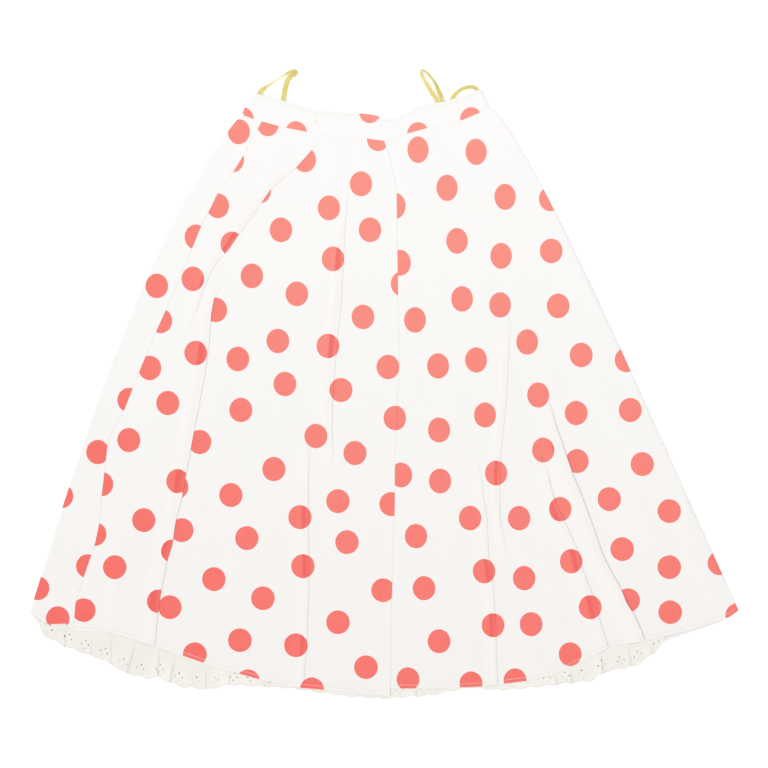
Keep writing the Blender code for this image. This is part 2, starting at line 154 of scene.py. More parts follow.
# Tucks, where the cloth on the left lies over the cloth on the right. The
# path runs down the panel, and start and end are shares of its length.
leftTucks = (
    ("name", "path", "start", "end", "overlap", "ramp", "radius"),
    ("upper", (
        (-86, 361), (-106, 338), (-129, 312), (-164, 283), (-177, 264), (-209, 219), (-226, 194),
        (-242, 177), (-252, 161), (-262, 136), (-274, 107), (-284, 86), (-292, 57), (-307, -23),
        (-332, -139), (-364, -313), (-371, -371),
    ), -0.02, 0.42, 2.5, 10, 0.3),
    ("main", (
        (-70, 361), (-100, 321), (-148, 267), (-190, 209), (-220, 180), (-235, 151), (-246, 129),
        (-251, 100), (-254, 57), (-260, 13), (-267, -23), (-278, -81), (-286, -125), (-293, -164),
        (-302, -197), (-307, -233), (-315, -258), (-323, -299), (-328, -331), (-332, -371), (-334, -400),
    ), 0.27, 1.3, 5, 15, 0.36),
    ("lower", (
        (-56, 358), (-78, 319), (-99, 267), (-113, 194), (-107, 122), (-107, 50), (-109, -23), (-110, -96),
        (-110, -139), (-110, -212), (-109, -284), (-112, -371), (-118, -444),
    ), 0.53, 1.3, 2.5, 16, 0.29),
    ("inner", (
        (-36, 357), (-46, 310), (-55, 267), (-58, 209), (-62, 122), (-68, 67), (-70, 41), (-73, 6),
        (-75, -23), (-76, -96), (-78, -168), (-83, -256), (-86, -444),
    ), 0.08, 0.62, 3.5, 15, 0.29),
)
rightTucks = (
    ("name", "path", "start", "end", "overlap", "ramp", "radius"),
    ("first", (
        (59, 368), (88, 267), (107, 122), (115, 50), (122, -23), (136, -117), (142, -154), (149, -197),
        (151, -248), (155, -270), (158, -299), (161, -342), (164, -444),
    ), 0.58, 1.3, 2, 14, 0.29),
    ("second", (
        (88, 373), (139, 267), (178, 122), (180, 49), (177, -23), (172, -67), (168, -110), (167, -148),
        (168, -197), (176, -255), (186, -342), (196, -444),
    ), 0.34, 0.8, 2, 12, 0.29),
    ("short", (
        (113, 380), (160, 267), (187, 122), (192, 49), (198, -23), (212, -80), (234, -125), (249, -175),
        (267, -212), (280, -241), (286, -265), (294, -287), (304, -310), (312, -342), (325, -383),
        (330, -400),
    ), 0.6, 1.3, 3, 18, 0.34),
    ("deep", (
        (136, 389), (204, 267), (226, 122), (232, 49), (238, -30), (248, -60), (258, -88), (273, -132),
        (288, -168), (304, -212), (316, -248), (331, -277), (342, -296), (351, -318), (362, -335),
        (372, -357), (380, -380),
    ), 0.5, 1.3, 6, 22, 0.6),
)

# Soft creases, each from one place to another
creases = (
    ("x0", "y0", "x1", "y1", "halfWidth", "height"),
    (-365, -30, -330, -31, 4, 0.5),
    (-178, 310, -232, 291, 5, 0.7),
    (-226, -2, -257, -28, 6, 0.9),
    (-226, 50, -228, 15, 5, 0.6),
    (-248, -125, -278, -205, 7, 0.9),
    (-390, -270, -396, -368, 9, 1.3),
    (-376, -200, -392, -300, 8, 0.9),
    (-340, -60, -352, -170, 14, 0.8),
    (-62, -60, -68, -155, 5, 1.0),
    (-68, -160, -72, -245, 7, 0.6),
    (-200, -240, -222, -330, 16, 0.8),
    (-160, -170, -230, -290, 18, 0.7),
    (-30, -330, -12, -400, 7, 0.5),
    (40, 25, 38, -20, 5, 0.6),
    (180, 40, 182, -25, 6, 0.7),
    (203, -80, 205, -150, 8, 1.0),
    (200, -210, 203, -260, 7, 0.8),
    (102, -220, 82, -285, 8, 0.7),
    (236, -262, 256, -370, 7, 1.1),
    (262, -160, 276, -215, 8, 0.8),
    (225, 35, 255, -55, 10, 0.7),
    (350, -150, 392, -235, 10, 1.0),
    (437, -165, 444, -225, 8, 0.8),
    (441, -245, 494, -328, 9, 1.3),
    (160, -280, 166, -330, 8, 0.9),
    (60, -300, 66, -420, 14, 1.0),
    (120, -330, 124, -425, 10, 0.9),
    (210, -340, 214, -410, 9, 0.8),
    (-20, 330, -30, 240, 9, 0.8),
    (25, 320, 40, 235, 8, 0.7),
    (66, 352, 92, 318, 5, 0.5),
    (100, 352, 150, 318, 4, 0.5),
    (-70, 345, -82, 262, 9, 0.7),
    (-150, 340, -178, 292, 9, 0.7),
    (240, 250, 330, 60, 14, 0.7),
    (290, 60, 350, -110, 16, 0.8),
    (-300, 60, -345, -80, 10, 0.6),
    (140, 180, 160, 10, 12, 0.6),
    (-60, 150, -62, -60, 15, 0.5),
    (90, 120, 100, -60, 14, 0.5),
    (-160, 120, -190, -60, 16, 0.6),
    (-200, 130, -232, 40, 10, 0.6),
    (330, -20, 370, -120, 12, 0.7),
    (20, -60, 24, -170, 12, 0.6),
)

# The back lies on the table, so its creases only rise
backCreases = (
    ("x0", "y0", "x1", "y1", "halfWidth", "height"),
    (-120, 340, -190, 120, 14, 0.9),
    (-60, 350, -70, 60, 16, 0.8),
    (40, 330, 70, 20, 15, 0.9),
    (110, 360, 210, 110, 13, 0.8),
    (-330, -20, -420, -290, 16, 0.9),
    (-230, -60, -270, -360, 18, 0.9),
    (-110, -150, -120, -400, 15, 0.8),
    (20, -120, 30, -410, 17, 0.9),
    (150, -40, 190, -360, 15, 0.9),
    (290, 20, 370, -250, 17, 0.9),
    (400, -100, 460, -300, 14, 0.8),
)

# How a crease wavers, fades at its ends, leans and swells
creaseShape = {
    "waver": 0.25,
    "waverTurn": 0.045,
    "fadeIn": (-0.25, 0.35),
    "fadeOut": (0.65, 1.25),
    "lean": (0.75, 1.25),
    "height": 0.8,
    "width": 1.3,
}


def onPanel(side, across, down, hem="hem"):
    # A place on one half of the skirt, from the shares across and down
    across = np.asarray(across, float)
    topX, topY = onEdge(skirt["waist" + side], across)
    footX, footY = onEdge(skirt[hem + side], across)
    bow, power = skirt["bow" + side]
    away = across - 1 if side == "Left" else across
    x = topX + down * (footX - topX) + bow * math.sin(math.pi * max(down, 0.0) ** power) * away
    y = topY + down * (footY - topY)
    width = skirt["waistHalf"] + skirt["flare"] * down
    return x + valueAt(skirt["centreBow"], y) * np.exp(-((away * width / skirt["bowReach"]) ** 2)), y


def panelWidth(side, down):
    edges = onPanel(side, [0.0, 1.0], down)[0]
    return edges[1] - edges[0]


def strength(fold, down):
    rise = float(smoothStep(down, fold["start"], fold["start"] + folds["fade"]))
    return rise * float(fadeOut(down, fold["end"] - folds["fade"], fold["end"]))


def widthAt(down):
    return folds["waistWidth"] + (1 - folds["waistWidth"]) * min(1.0, down / folds["fullWidthDown"])


def crossing(side, path, down):
    # Where a path down the panel crosses one row, as a share of the way across
    across, out = np.linspace(*folds["search"]), folds["runOut"]
    x, y = onPanel(side, across, down)
    p = np.array(path, float)
    p = np.vstack([p[0] + out * (p[0] - p[1]), p, p[-1] + out * (p[-1] - p[-2])])
    return float(np.interp(0.0, x - np.interp(-y, -p[:, 1], p[:, 0]), across))


def tuckPath(fold, down):
    # The cloth through a tuck: up, over the crest, back under it and on. A
    # tuck first rises, then closes, and then laps further.
    share, radius = strength(fold, down), fold["radius"]
    layer, full = 2 * radius, 4 * radius
    rising, closed, lapping = (min(1.0, max(0.0, 3 * share - k)) for k in range(3))
    height, overlap = full * rising, folds["leastOverlap"] + fold["overlap"] * lapping
    wide = widthAt(down) * (folds["leastWidth"] + (1 - folds["leastWidth"]) * min(1.0, 4 * share))
    path = []
    for t in np.linspace(0, 1, folds["rampSteps"]):
        back = overlap + wide * (folds["lead"] + fold["ramp"] * (1 - t))
        path.append((-back, height * float(smoothStep(t, 0, 1))))
    turn = np.radians(np.linspace(90, -90, folds["turnSteps"]))
    folded = [(radius * math.cos(a), full - radius * (1 - math.sin(a))) for a in turn]
    folded += [(-overlap * t, layer) for t in folds["layerPoints"]]
    folded += [(-overlap - radius * math.cos(a), radius * (1 + math.sin(a))) for a in turn]
    for i, (x, z) in enumerate(folded):
        t = i / (len(folded) - 1)
        openX = folds["openWidth"] * wide * t
        openZ = height * 0.5 * (1 + math.cos(math.pi * t))
        path.append((openX + closed * (x - openX), openZ + closed * (z - openZ)))
    return path


def creaseHeight(x, y, table):
    # How far the creases of a table lift the cloth at each point
    lift, shape = np.zeros_like(x), creaseShape
    for c in named(table):
        way = np.array([c["x1"] - c["x0"], c["y1"] - c["y0"]], float)
        length = np.linalg.norm(way)
        way /= length
        t = (x - c["x0"]) * way[0] + (y - c["y0"]) * way[1]
        off = (x - c["x0"]) * way[1] - (y - c["y0"]) * way[0]
        off = off + shape["waver"] * c["halfWidth"] * np.sin(t * shape["waverTurn"] + c["x0"])
        fade = smoothStep(t / length, *shape["fadeIn"]) * fadeOut(t / length, *shape["fadeOut"])
        width = shape["width"] * c["halfWidth"] * np.where(off > 0, *shape["lean"])
        lift += shape["height"] * c["height"] * fade * np.exp(-((off / width) ** 2))
    return lift


ripples = {"across": 0.035, "down": 0.018, "base": 0.2, "broad": 0.14, "fine": 0.06}


def ripple(x, y):
    # Small uneven rises in the cloth, a few cm across
    u, v = x * ripples["across"], y * ripples["down"]
    broad = np.sin(u * 1.7 + 1.3 * np.sin(v * 1.1 + 0.6)) * np.sin(v * 1.9 + 0.8 * np.sin(u * 0.9))
    fine = np.sin(u * 3.9 + v * 0.7 + 2.1) * np.sin(v * 3.1 - u * 0.4 + 1.0)
    return ripples["base"] + ripples["broad"] * broad + ripples["fine"] * fine


# The print. Each strip of cloth between folds has its own dots, placed
# in steps of 1.45 mm from the top left of a square of 768 steps.

dotPlaces = {
    "left": (
        (305, 160), (260, 191), (378, 139), (361, 184), (329, 208), (370, 230), (281, 230), (333, 259),
        (252, 276), (297, 294), (402, 284), (363, 317), (216, 310), (278, 341), (328, 346), (388, 367),
        (238, 359), (285, 384), (341, 390), (241, 410), (395, 418), (316, 436), (355, 453), (200, 442),
        (274, 469), (177, 487), (231, 495), (338, 501), (300, 517), (391, 504), (182, 530), (247, 538),
        (347, 542), (303, 566), (214, 579), (383, 590), (263, 598), (170, 607), (338, 622), (240, 640),
        (296, 645), (195, 654), (366, 667), (248, 681), (312, 689),
    ),
    "side": (
        (268, 124), (233, 160), (218, 206), (232, 244), (193, 279), (161, 321), (196, 353), (150, 368),
        (168, 403), (129, 440), (102, 484), (178, 481), (95, 534), (144, 520), (115, 567), (173, 551),
        (159, 601), (84, 610),
    ),
    "wrap": (
        (239, 132), (196, 237), (157, 286), (129, 400), (98, 452), (62, 496), (88, 566), (38, 588),
        (58, 618),
    ),
    "right": (
        (418, 150), (476, 152), (447, 188), (505, 197), (395, 206), (457, 241), (400, 263), (501, 256),
        (462, 299), (500, 305), (415, 320), (527, 342), (438, 366), (476, 360), (538, 395), (485, 415),
        (395, 418), (439, 430), (543, 450), (401, 475), (440, 481), (496, 473), (560, 509), (470, 518),
        (519, 518), (416, 536), (571, 561), (484, 571), (524, 578), (424, 588), (590, 607), (493, 625),
        (531, 624), (439, 641), (570, 654), (408, 679), (471, 683), (515, 680),
    ),
    "flank": (
        (550, 199), (551, 251), (558, 306), (581, 355), (626, 360), (576, 413), (630, 410), (577, 461),
        (642, 464), (609, 499), (669, 511), (622, 549), (669, 567), (719, 563), (628, 600), (670, 612),
        (737, 615),
    ),
    "bandSideLeft": ((243, 120), (296, 134)),
    "bandCentreLeft": ((306, 120), (370, 111)),
    "bandCentreRight": ((418, 135), (471, 120)),
    "bandSideRight": ((471, 120),),
}

# Half widths and half heights of the dots in mm, at the waist and at the hem
dotSizes = {"usual": ((16.1, 17.4), (18.2, 17.1)), "right": ((15.3, 16.7), (19.4, 17.2))}

# Each axis of the scatter has a start, two steps, a nudge and its two turns
dotScatter = {"count": 16, "across": (393, 43, -21, 7, 2.3, 1.1), "down": (395, 17, 54, 6, 1.7, -2.9)}
printField = {
    "step": 1.45, "side": 768, "top": 80, "foot": 720, "waistY": 420, "length": 870, "edge": 17, "far": -60.0,
}


def scatteredDots():
    # Where nothing shows, the dots lie on two steps and are nudged a little
    places, steps = [], range(-dotScatter["count"], dotScatter["count"] + 1)
    for i in steps:
        for j in steps:
            place = []
            for axis in ("across", "down"):
                start, first, second, nudge, turnI, turnJ = dotScatter[axis]
                place.append(start + first * i + second * j + nudge * math.sin(turnI * i + turnJ * j))
            if 0 < place[0] < printField["side"] and printField["top"] < place[1] < printField["foot"]:
                places.append(place)
    return places


dotPlaces["back"] = dotPlaces["bandBack"] = scatteredDots()


def insideDots(x, y, name):
    # How far each point lies inside the nearest dot's edge, in mm
    step, middle = printField["step"], printField["side"] / 2
    down = np.clip((printField["waistY"] - y) / printField["length"], 0.0, 1.0)
    wide, tall = (first + (last - first) * down for first, last in dotSizes.get(name, dotSizes["usual"]))
    depth = np.full_like(x, printField["far"])
    for across, drop in dotPlaces[name]:
        away = np.hypot((x - (across - middle) * step) / wide, (y - (middle - drop) * step) / tall)
        depth = np.maximum(depth, printField["edge"] * (1 - away))
    return depth


# Meshes from grids of points

def addObject(name, data):
    made = bpy.data.objects.new(name, data)
    scene.collection.objects.link(made)
    return made


def meshOf(name, points, edges, faces):
    mesh = bpy.data.meshes.new(name)
    mesh.from_pydata(points, edges, faces)
    return mesh


def cornersOf(field):
    # A field on the grid's points, as values at each quad's four corners
    corners = [field[:-1, :-1], field[1:, :-1], field[1:, 1:], field[:-1, 1:]]
    return np.stack(corners, axis=2).reshape(-1, 4)


def clothUv(x, y, z):
    # Distances along the cloth itself, for the weave
    step = np.sqrt(sum(np.diff(field, axis=1) ** 2 for field in (x, y, z)))
    return cornersOf(np.hstack([np.zeros((len(x), 1)), np.cumsum(step, axis=1)])), cornersOf(y)


def gridMesh(name, x, y, z, inside=None, keep=None, tuckShade=None):
    # x, y and z are rows by columns in mm, inside has the print by corner
    points = np.stack([x, y, z], axis=2).reshape(-1, 3) * mm
    quads = cornersOf(np.arange(x.size).reshape(x.shape))
    keep = np.ones(len(quads), bool) if keep is None else keep
    mesh = meshOf(name, points.tolist(), [], quads[keep].tolist())
    uv = np.stack([field[keep] for field in clothUv(x, y, z)], axis=2).reshape(-1) * mm
    mesh.uv_layers.new(name="cloth").data.foreach_set("uv", uv.astype(np.float32))
    mesh.shade_smooth()
    # The cut edges stay crisp
    edgeOf, uses = np.zeros(len(mesh.loops), np.int32), np.zeros(len(mesh.edges), int)
    mesh.loops.foreach_get("edge_index", edgeOf)
    np.add.at(uses, edgeOf, 1)
    fields = [("sharp_edge", "BOOLEAN", "EDGE", uses == 1)]
    if inside is not None:
        fields.append(("insideDot", "FLOAT", "CORNER", inside.reshape(-1)))
    # The painted shade at the tucks, one value on each point
    if tuckShade is not None:
        fields.append(("tuckShade", "FLOAT", "POINT", tuckShade.reshape(-1)))
    for label, kind, domain, values in fields:
        mesh.attributes.new(label, kind, domain).data.foreach_set("value", values)
    return addObject(name, mesh)


def thicken(piece, thickness):
    solid = piece.modifiers.new("thickness", "SOLIDIFY")
    solid.thickness = thickness * mm
    solid.offset = 0.0
    return piece


def dress(piece, slotName, material, *nodes):
    piece.data.materials.clear()
    piece.data.materials.append(material)
    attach(piece, "root")
    if nodes:
        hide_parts(*nodes)
    return piece


# Node helpers, for shaders and for Geometry Nodes

def nodeOf(tree, kind, inputs=(), **settings):
    # A node with its settings, and inputs by place or by name that are
    # linked where they are sockets
    node = tree.nodes.new(kind)
    for label, value in settings.items():
        setattr(node, label, value)
    for label, value in inputs.items() if isinstance(inputs, dict) else enumerate(inputs):
        if isinstance(value, bpy.types.NodeSocket):
            tree.links.new(value, node.inputs[label])
        else:
            node.inputs[label].default_value = value
    return node


def mathOf(tree, operation, *values, clamp=False):
    return nodeOf(tree, "ShaderNodeMath", values, operation=operation, use_clamp=clamp).outputs[0]


def vectorOf(tree, operation, *values):
    return nodeOf(tree, "ShaderNodeVectorMath", values, operation=operation).outputs["Vector"]


def rangeOf(tree, value, fromLow, fromHigh, toLow=0.0, toHigh=1.0):
    labels = ("Value", "From Min", "From Max", "To Min", "To Max")
    inputs = dict(zip(labels, (value, fromLow, fromHigh, toLow, toHigh)))
    return nodeOf(tree, "ShaderNodeMapRange", inputs).outputs["Result"]


def blendOf(tree, factor, *colours):
    first, second = ((*c, 1.0) if isinstance(c, tuple) else c for c in colours)
    return nodeOf(tree, "ShaderNodeMix", {0: factor, 6: first, 7: second}, data_type="RGBA").outputs[2]


def noiseOf(tree, place, scale, detail=3.0):
    inputs = {"Vector": place, "Scale": scale, "Detail": detail}
    return nodeOf(tree, "ShaderNodeTexNoise", inputs).outputs["Fac"]


def bumpOf(tree, *layers):
    # Heights one over the other, each with its strength and distance
    normal = {}
    for height, amount, distance in layers:
        inputs = {"Height": height, "Strength": amount, "Distance": distance, **normal}
        normal = {"Normal": nodeOf(tree, "ShaderNodeBump", inputs).outputs["Normal"]}
    return normal["Normal"]


def newTree(kind, name, inputs, outputs):
    # A node tree with named sockets, and its two ends
    tree = bpy.data.node_groups.new(name, kind)
    for label, sort, value in inputs:
        socket = tree.interface.new_socket(name=label, in_out="INPUT", socket_type="NodeSocket" + sort)
        if value is not None:
            socket.default_value = value
    for label, sort in outputs:
        tree.interface.new_socket(name=label, in_out="OUTPUT", socket_type="NodeSocket" + sort)
    return tree, tree.nodes.new("NodeGroupInput").outputs, tree.nodes.new("NodeGroupOutput").inputs


def placeGroup(tree, group, **values):
    return nodeOf(tree, "ShaderNodeGroup", values, node_tree=group).outputs


# Effects that several finishes share

def weaveGroup():
    # A plain weave's height, and its slubs, from distances on the cloth in m
    inputs = (("Place", "Vector", None), ("Pitch", "Float", 0.0005), ("Slub", "Float", 0.4))
    outputs = (("Height", "Float"), ("Shade", "Float"))
    tree, given, made = newTree("ShaderNodeTree", "plainWeave", inputs, outputs)
    turn = mathOf(tree, "DIVIDE", 2 * math.pi, given["Pitch"])
    split = nodeOf(tree, "ShaderNodeSeparateXYZ", [given["Place"]]).outputs
    warp, weft = (mathOf(tree, "SINE", mathOf(tree, "MULTIPLY", split[k], turn)) for k in range(2))
    thread = rangeOf(tree, mathOf(tree, "MULTIPLY", warp, weft), -1.0, 1.0)
    slubs = []
    for stretch in ((90.0, 900.0, 1.0), (900.0, 90.0, 1.0)):
        slubs.append(noiseOf(tree, vectorOf(tree, "MULTIPLY", given["Place"], stretch), 1.0, 2.0))
    slub = mathOf(tree, "MULTIPLY", mathOf(tree, "ADD", *slubs), 0.5)
    height = mathOf(tree, "ADD", thread, mathOf(tree, "MULTIPLY", slub, given["Slub"]))
    tree.links.new(height, made["Height"])
    tree.links.new(slub, made["Shade"])
    return tree


def crumpleGroup():
    # Fine soft crumples of cotton that was folded away
    inputs, outputs = [("Place", "Vector", None)], [("Height", "Float")]
    tree, given, made = newTree("ShaderNodeTree", "softCrumple", inputs, outputs)
    scaled = vectorOf(tree, "DIVIDE", given["Place"], (0.02, 0.05, 0.03))
    broad = noiseOf(tree, scaled, 0.6, 2.0)
    creased = mathOf(tree, "ABSOLUTE", mathOf(tree, "SUBTRACT", noiseOf(tree, scaled, 1.3), 0.5))
    tree.links.new(mathOf(tree, "SUBTRACT", broad, creased), made["Height"])
    return tree


weave = weaveGroup()
crumple = crumpleGroup()


def newMaterial(name, surface):
    material = bpy.data.materials.new(name)
    material.use_nodes = True
    shader = material.node_tree.nodes["Principled BSDF"].inputs
    for label, value in surface.items():
        shader[label].default_value = value
    return material, material.node_tree, shader


def finish(tree, shader, colour, *layers):
    tree.links.new(colour, shader["Base Color"])
    tree.links.new(bumpOf(tree, *layers), shader["Normal"])


def uvOf(tree, name):
    return nodeOf(tree, "ShaderNodeUVMap", uv_map=name).outputs[0]


def attributeOf(tree, name):
    return nodeOf(tree, "ShaderNodeAttribute", attribute_name=name).outputs["Fac"]


def objectPlace(tree):
    return tree.nodes.new("ShaderNodeTexCoord").outputs["Object"]


dottedCotton = {
    "clothTop": (0.838, 0.826, 0.815),
    "clothFootShaded": (0.772, 0.753, 0.731),
    "clothShade": (0.70, 0.66, 0.62),
    # Painted shade at the tucks: the cloth and its dots darken where a tuck lays cloth over cloth
    "clothTuckShade": (0.800, 0.776, 0.735),
    "dotTop": (0.824, 0.262, 0.210),
    "dotFootShaded": (0.787, 0.135, 0.117),
    "dotLeft": (0.780, 0.098, 0.085),
    "dotWorn": (0.86, 0.30, 0.25),
    "dotTuckShade": (0.720, 0.085, 0.080),
    "tuckShading": 0.7,
    "surface": {"Roughness": 0.88, "Specular IOR Level": 0.2, "Sheen Weight": 0.08},
    "weavePitch": 0.0005,
    "threadBump": (0.25, 0.00012),
    "foldBump": (0.35, 0.0012),
    "softness": 0.45,
    "wobble": 0.2,
    "wobbleScale": 70.0,
    "wornScale": 35.0,
    "worn": 0.10,
    "slubShade": 0.05,
    # Where the tones begin and end, in m up from the middle or to its left. Towards the hem the cloth and its
    # dots darken: painted shade, where less light falls
    "waistToHem": (0.42, -0.45),
    "middleToLeft": (-0.08, -0.42, 0.0, 0.55),
}


def dottedMaterial():
    look = dottedCotton
    material, tree, shader = newMaterial("dottedCotton", look["surface"])
    cloth = uvOf(tree, "cloth")
    split = nodeOf(tree, "ShaderNodeSeparateXYZ", [objectPlace(tree)]).outputs
    down, aside = rangeOf(tree, split[1], *look["waistToHem"]), rangeOf(tree, split[0], *look["middleToLeft"])
    threads = placeGroup(tree, weave, Place=cloth, Pitch=look["weavePitch"])
    folded = placeGroup(tree, crumple, Place=cloth)
    wobble = noiseOf(tree, cloth, look["wobbleScale"], 2.0)
    wobble = rangeOf(tree, wobble, 0.3, 0.7, -look["wobble"], look["wobble"])
    inside = mathOf(tree, "ADD", attributeOf(tree, "insideDot"), wobble)
    isDot = mathOf(tree, "ADD", mathOf(tree, "DIVIDE", inside, look["softness"]), 0.5, clamp=True)
    # Painted shade: the cloth and its dots darken from the waist to the hem
    white = blendOf(tree, down, look["clothTop"], look["clothFootShaded"])
    red = blendOf(tree, aside, blendOf(tree, down, look["dotTop"], look["dotFootShaded"]), look["dotLeft"])
    worn = rangeOf(tree, noiseOf(tree, cloth, look["wornScale"]), 0.3, 0.7, 0.0, look["worn"])
    colour = blendOf(tree, isDot, white, blendOf(tree, worn, red, look["dotWorn"]))
    # Painted shade: cloth and dots darker along the tucks, from the shade field on each point
    shadedColour = blendOf(tree, isDot, look["clothTuckShade"], look["dotTuckShade"])
    tuckShade = mathOf(tree, "MULTIPLY", attributeOf(tree, "tuckShade"), look["tuckShading"])
    shade = rangeOf(tree, threads["Shade"], 0.35, 0.65, 0.0, look["slubShade"])
    colour = blendOf(tree, shade, blendOf(tree, tuckShade, colour, shadedColour), look["clothShade"])
    bumps = ((threads["Height"], *look["threadBump"]), (folded["Height"], *look["foldBump"]))
    finish(tree, shader, colour, *bumps)
    return material


eyeletCotton = {
    "colour": (0.775, 0.755, 0.708),
    "shadow": (0.70, 0.675, 0.63),
    "surface": {"Roughness": 0.9, "Specular IOR Level": 0.2, "Sheen Weight": 0.06},
    "toneScale": 22.0,
    "weavePitch": 0.00045,
    "threadBump": (0.3, 0.00012),
    "foldBump": (0.5, 0.0014),
}


def eyeletMaterial():
    look = eyeletCotton
    material, tree, shader = newMaterial("eyeletCotton", look["surface"])
    cloth = uvOf(tree, "cloth")
    threads = placeGroup(tree, weave, Place=cloth, Pitch=look["weavePitch"], Slub=0.6)
    folded = placeGroup(tree, crumple, Place=cloth)
    tone = rangeOf(tree, noiseOf(tree, cloth, look["toneScale"]), 0.35, 0.7, 0.0, 0.5)
    bumps = ((threads["Height"], *look["threadBump"]), (folded["Height"], *look["foldBump"]))
    finish(tree, shader, blendOf(tree, tone, look["colour"], look["shadow"]), *bumps)
    return material


threadFinish = {
    "colour": (0.80, 0.785, 0.76),
    "deep": (0.70, 0.68, 0.64),
    "twist": 0.0006,
    "bump": (0.4, 0.0002),
    "surface": {"Roughness": 0.7, "Specular IOR Level": 0.3},
}


def threadMaterial():
    material, tree, shader = newMaterial("whiteThread", threadFinish["surface"])
    place = vectorOf(tree, "DIVIDE", objectPlace(tree), (threadFinish["twist"],) * 3)
    fibres = noiseOf(tree, place, 1.0)
    colour = blendOf(tree, rangeOf(tree, fibres, 0.35, 0.65), threadFinish["colour"], threadFinish["deep"])
    finish(tree, shader, colour, (fibres, *threadFinish["bump"]))
    return material


yellowRibbon = {
    "colour": (0.61, 0.50, 0.12),
    "light": (0.74, 0.64, 0.26),
    "ribPitch": 0.0005,
    "ribBump": (0.35, 0.0001),
    "toneScale": 120.0,
    "surface": {"Roughness": 0.38, "Specular IOR Level": 0.5, "Sheen Weight": 0.2, "Anisotropic": 0.5},
}


def ribbonMaterial():
    # Satin, with fine ribs along the ribbon
    material, tree, shader = newMaterial("yellowRibbon", yellowRibbon["surface"])
    cloth = uvOf(tree, "cloth")
    threads = placeGroup(tree, weave, Place=cloth, Pitch=yellowRibbon["ribPitch"], Slub=0.8)
    tone = rangeOf(tree, noiseOf(tree, cloth, yellowRibbon["toneScale"]), 0.3, 0.7)
    colour = blendOf(tree, tone, yellowRibbon["colour"], yellowRibbon["light"])
    finish(tree, shader, colour, (threads["Height"], *yellowRibbon["ribBump"]))
    return material


cotton = dottedMaterial()
eyeletWhite = eyeletMaterial()
threadWhite = threadMaterial()
ribbonYellow = ribbonMaterial()
print("finishes made")


# Repeats made with Geometry Nodes

def repeatTree(name, **sizes):
    inputs = [("Geometry", "Geometry", None)]
    inputs += [(label, "Float", size) for label, size in sizes.items()] + [("Finish", "Material", None)]
    return newTree("GeometryNodeTree", name, inputs, [("Geometry", "Geometry")])


def closeTree(tree, given, made, geometry):
    whole = nodeOf(tree, "GeometryNodeRealizeInstances", [geometry]).outputs[0]
    smooth = nodeOf(tree, "GeometryNodeSetShadeSmooth", [whole]).outputs[0]
    inputs = {"Geometry": smooth, "Material": given["Finish"]}
    tree.links.new(nodeOf(tree, "GeometryNodeSetMaterial", inputs).outputs[0], made["Geometry"])
    return tree


def circleOf(tree, resolution, radius):
    inputs = {"Resolution": resolution, "Radius": radius}
    return nodeOf(tree, "GeometryNodeCurvePrimitiveCircle", inputs).outputs[0]


def spread(tree, points, shape, axis, aim, **inputs):
    # A shape on every point, with one of its axes turned to a direction
    turned = nodeOf(tree, "FunctionNodeAlignRotationToVector", {"Vector": aim}, axis=axis).outputs[0]
    inputs.update(Points=points, Instance=shape, Rotation=turned)
    return nodeOf(tree, "GeometryNodeInstanceOnPoints", inputs).outputs[0]


def stitchTree():
    # Small rounded stitches, end to end along lines
    tree, given, made = repeatTree("stitchRow", Pitch=0.0034, Length=0.0027, Width=0.0007)
    lines = nodeOf(tree, "GeometryNodeMeshToCurve", {"Mesh": given["Geometry"]}).outputs[0]
    inputs = {"Curve": lines, "Length": given["Pitch"]}
    spaced = nodeOf(tree, "GeometryNodeResampleCurve", inputs, mode="LENGTH").outputs[0]
    inputs = {"Segments": 7, "Rings": 5, "Radius": 0.5}
    ball = nodeOf(tree, "GeometryNodeMeshUVSphere", inputs).outputs["Mesh"]
    size = (given["Length"], given["Width"], mathOf(tree, "MULTIPLY", given["Width"], 0.7))
    scale = nodeOf(tree, "ShaderNodeCombineXYZ", size).outputs[0]
    tangent = tree.nodes.new("GeometryNodeInputTangent").outputs[0]
    return closeTree(tree, given, made, spread(tree, spaced, ball, "X", tangent, Scale=scale))


def rimTree():
    # A worked rim round each hole, lying on the cloth
    tree, given, made = repeatTree("eyeletRims", Radius=0.0016, Thread=0.00045)
    ring, thread = circleOf(tree, 10, given["Radius"]), circleOf(tree, 4, given["Thread"])
    rim = nodeOf(tree, "GeometryNodeCurveToMesh", {"Curve": ring, "Profile Curve": thread}).outputs[0]
    normal = tree.nodes.new("GeometryNodeInputNormal").outputs[0]
    return closeTree(tree, given, made, spread(tree, given["Geometry"], rim, "Z", normal))


def cordTree():
    # A round corded edge along lines
    tree, given, made = repeatTree("cordedEdge", Radius=0.0007)
    lines = nodeOf(tree, "GeometryNodeMeshToCurve", {"Mesh": given["Geometry"]}).outputs[0]
    inputs = {"Curve": lines, "Profile Curve": circleOf(tree, 8, given["Radius"]), "Fill Caps": True}
    return closeTree(tree, given, made, nodeOf(tree, "GeometryNodeCurveToMesh", inputs).outputs[0])


stitchRow, eyeletRims, cordedEdge = stitchTree(), rimTree(), cordTree()


def runTree(piece, tree, **values):
    # Apply a tree with its named values, and keep the result as a plain mesh
    modifier = piece.modifiers.new(tree.name, "NODES")
    modifier.node_group = tree
    for item in tree.interface.items_tree:
        if item.in_out == "INPUT" and item.name in values:
            modifier[item.identifier] = values[item.name]
    graph = bpy.context.evaluated_depsgraph_get()
    baked = bpy.data.meshes.new_from_object(piece.evaluated_get(graph), depsgraph=graph)
    piece.modifiers.clear()
    piece.data = baked
    return piece


def lineObject(name, runs):
    # Lines in mm as one mesh of edges
    points, edges = [], []
    for run in runs:
        edges += [(len(points) + i, len(points) + i + 1) for i in range(len(run) - 1)]
        points += [tuple(float(c) * mm for c in p) for p in run]
    return addObject(name, meshOf(name, points, edges, []))


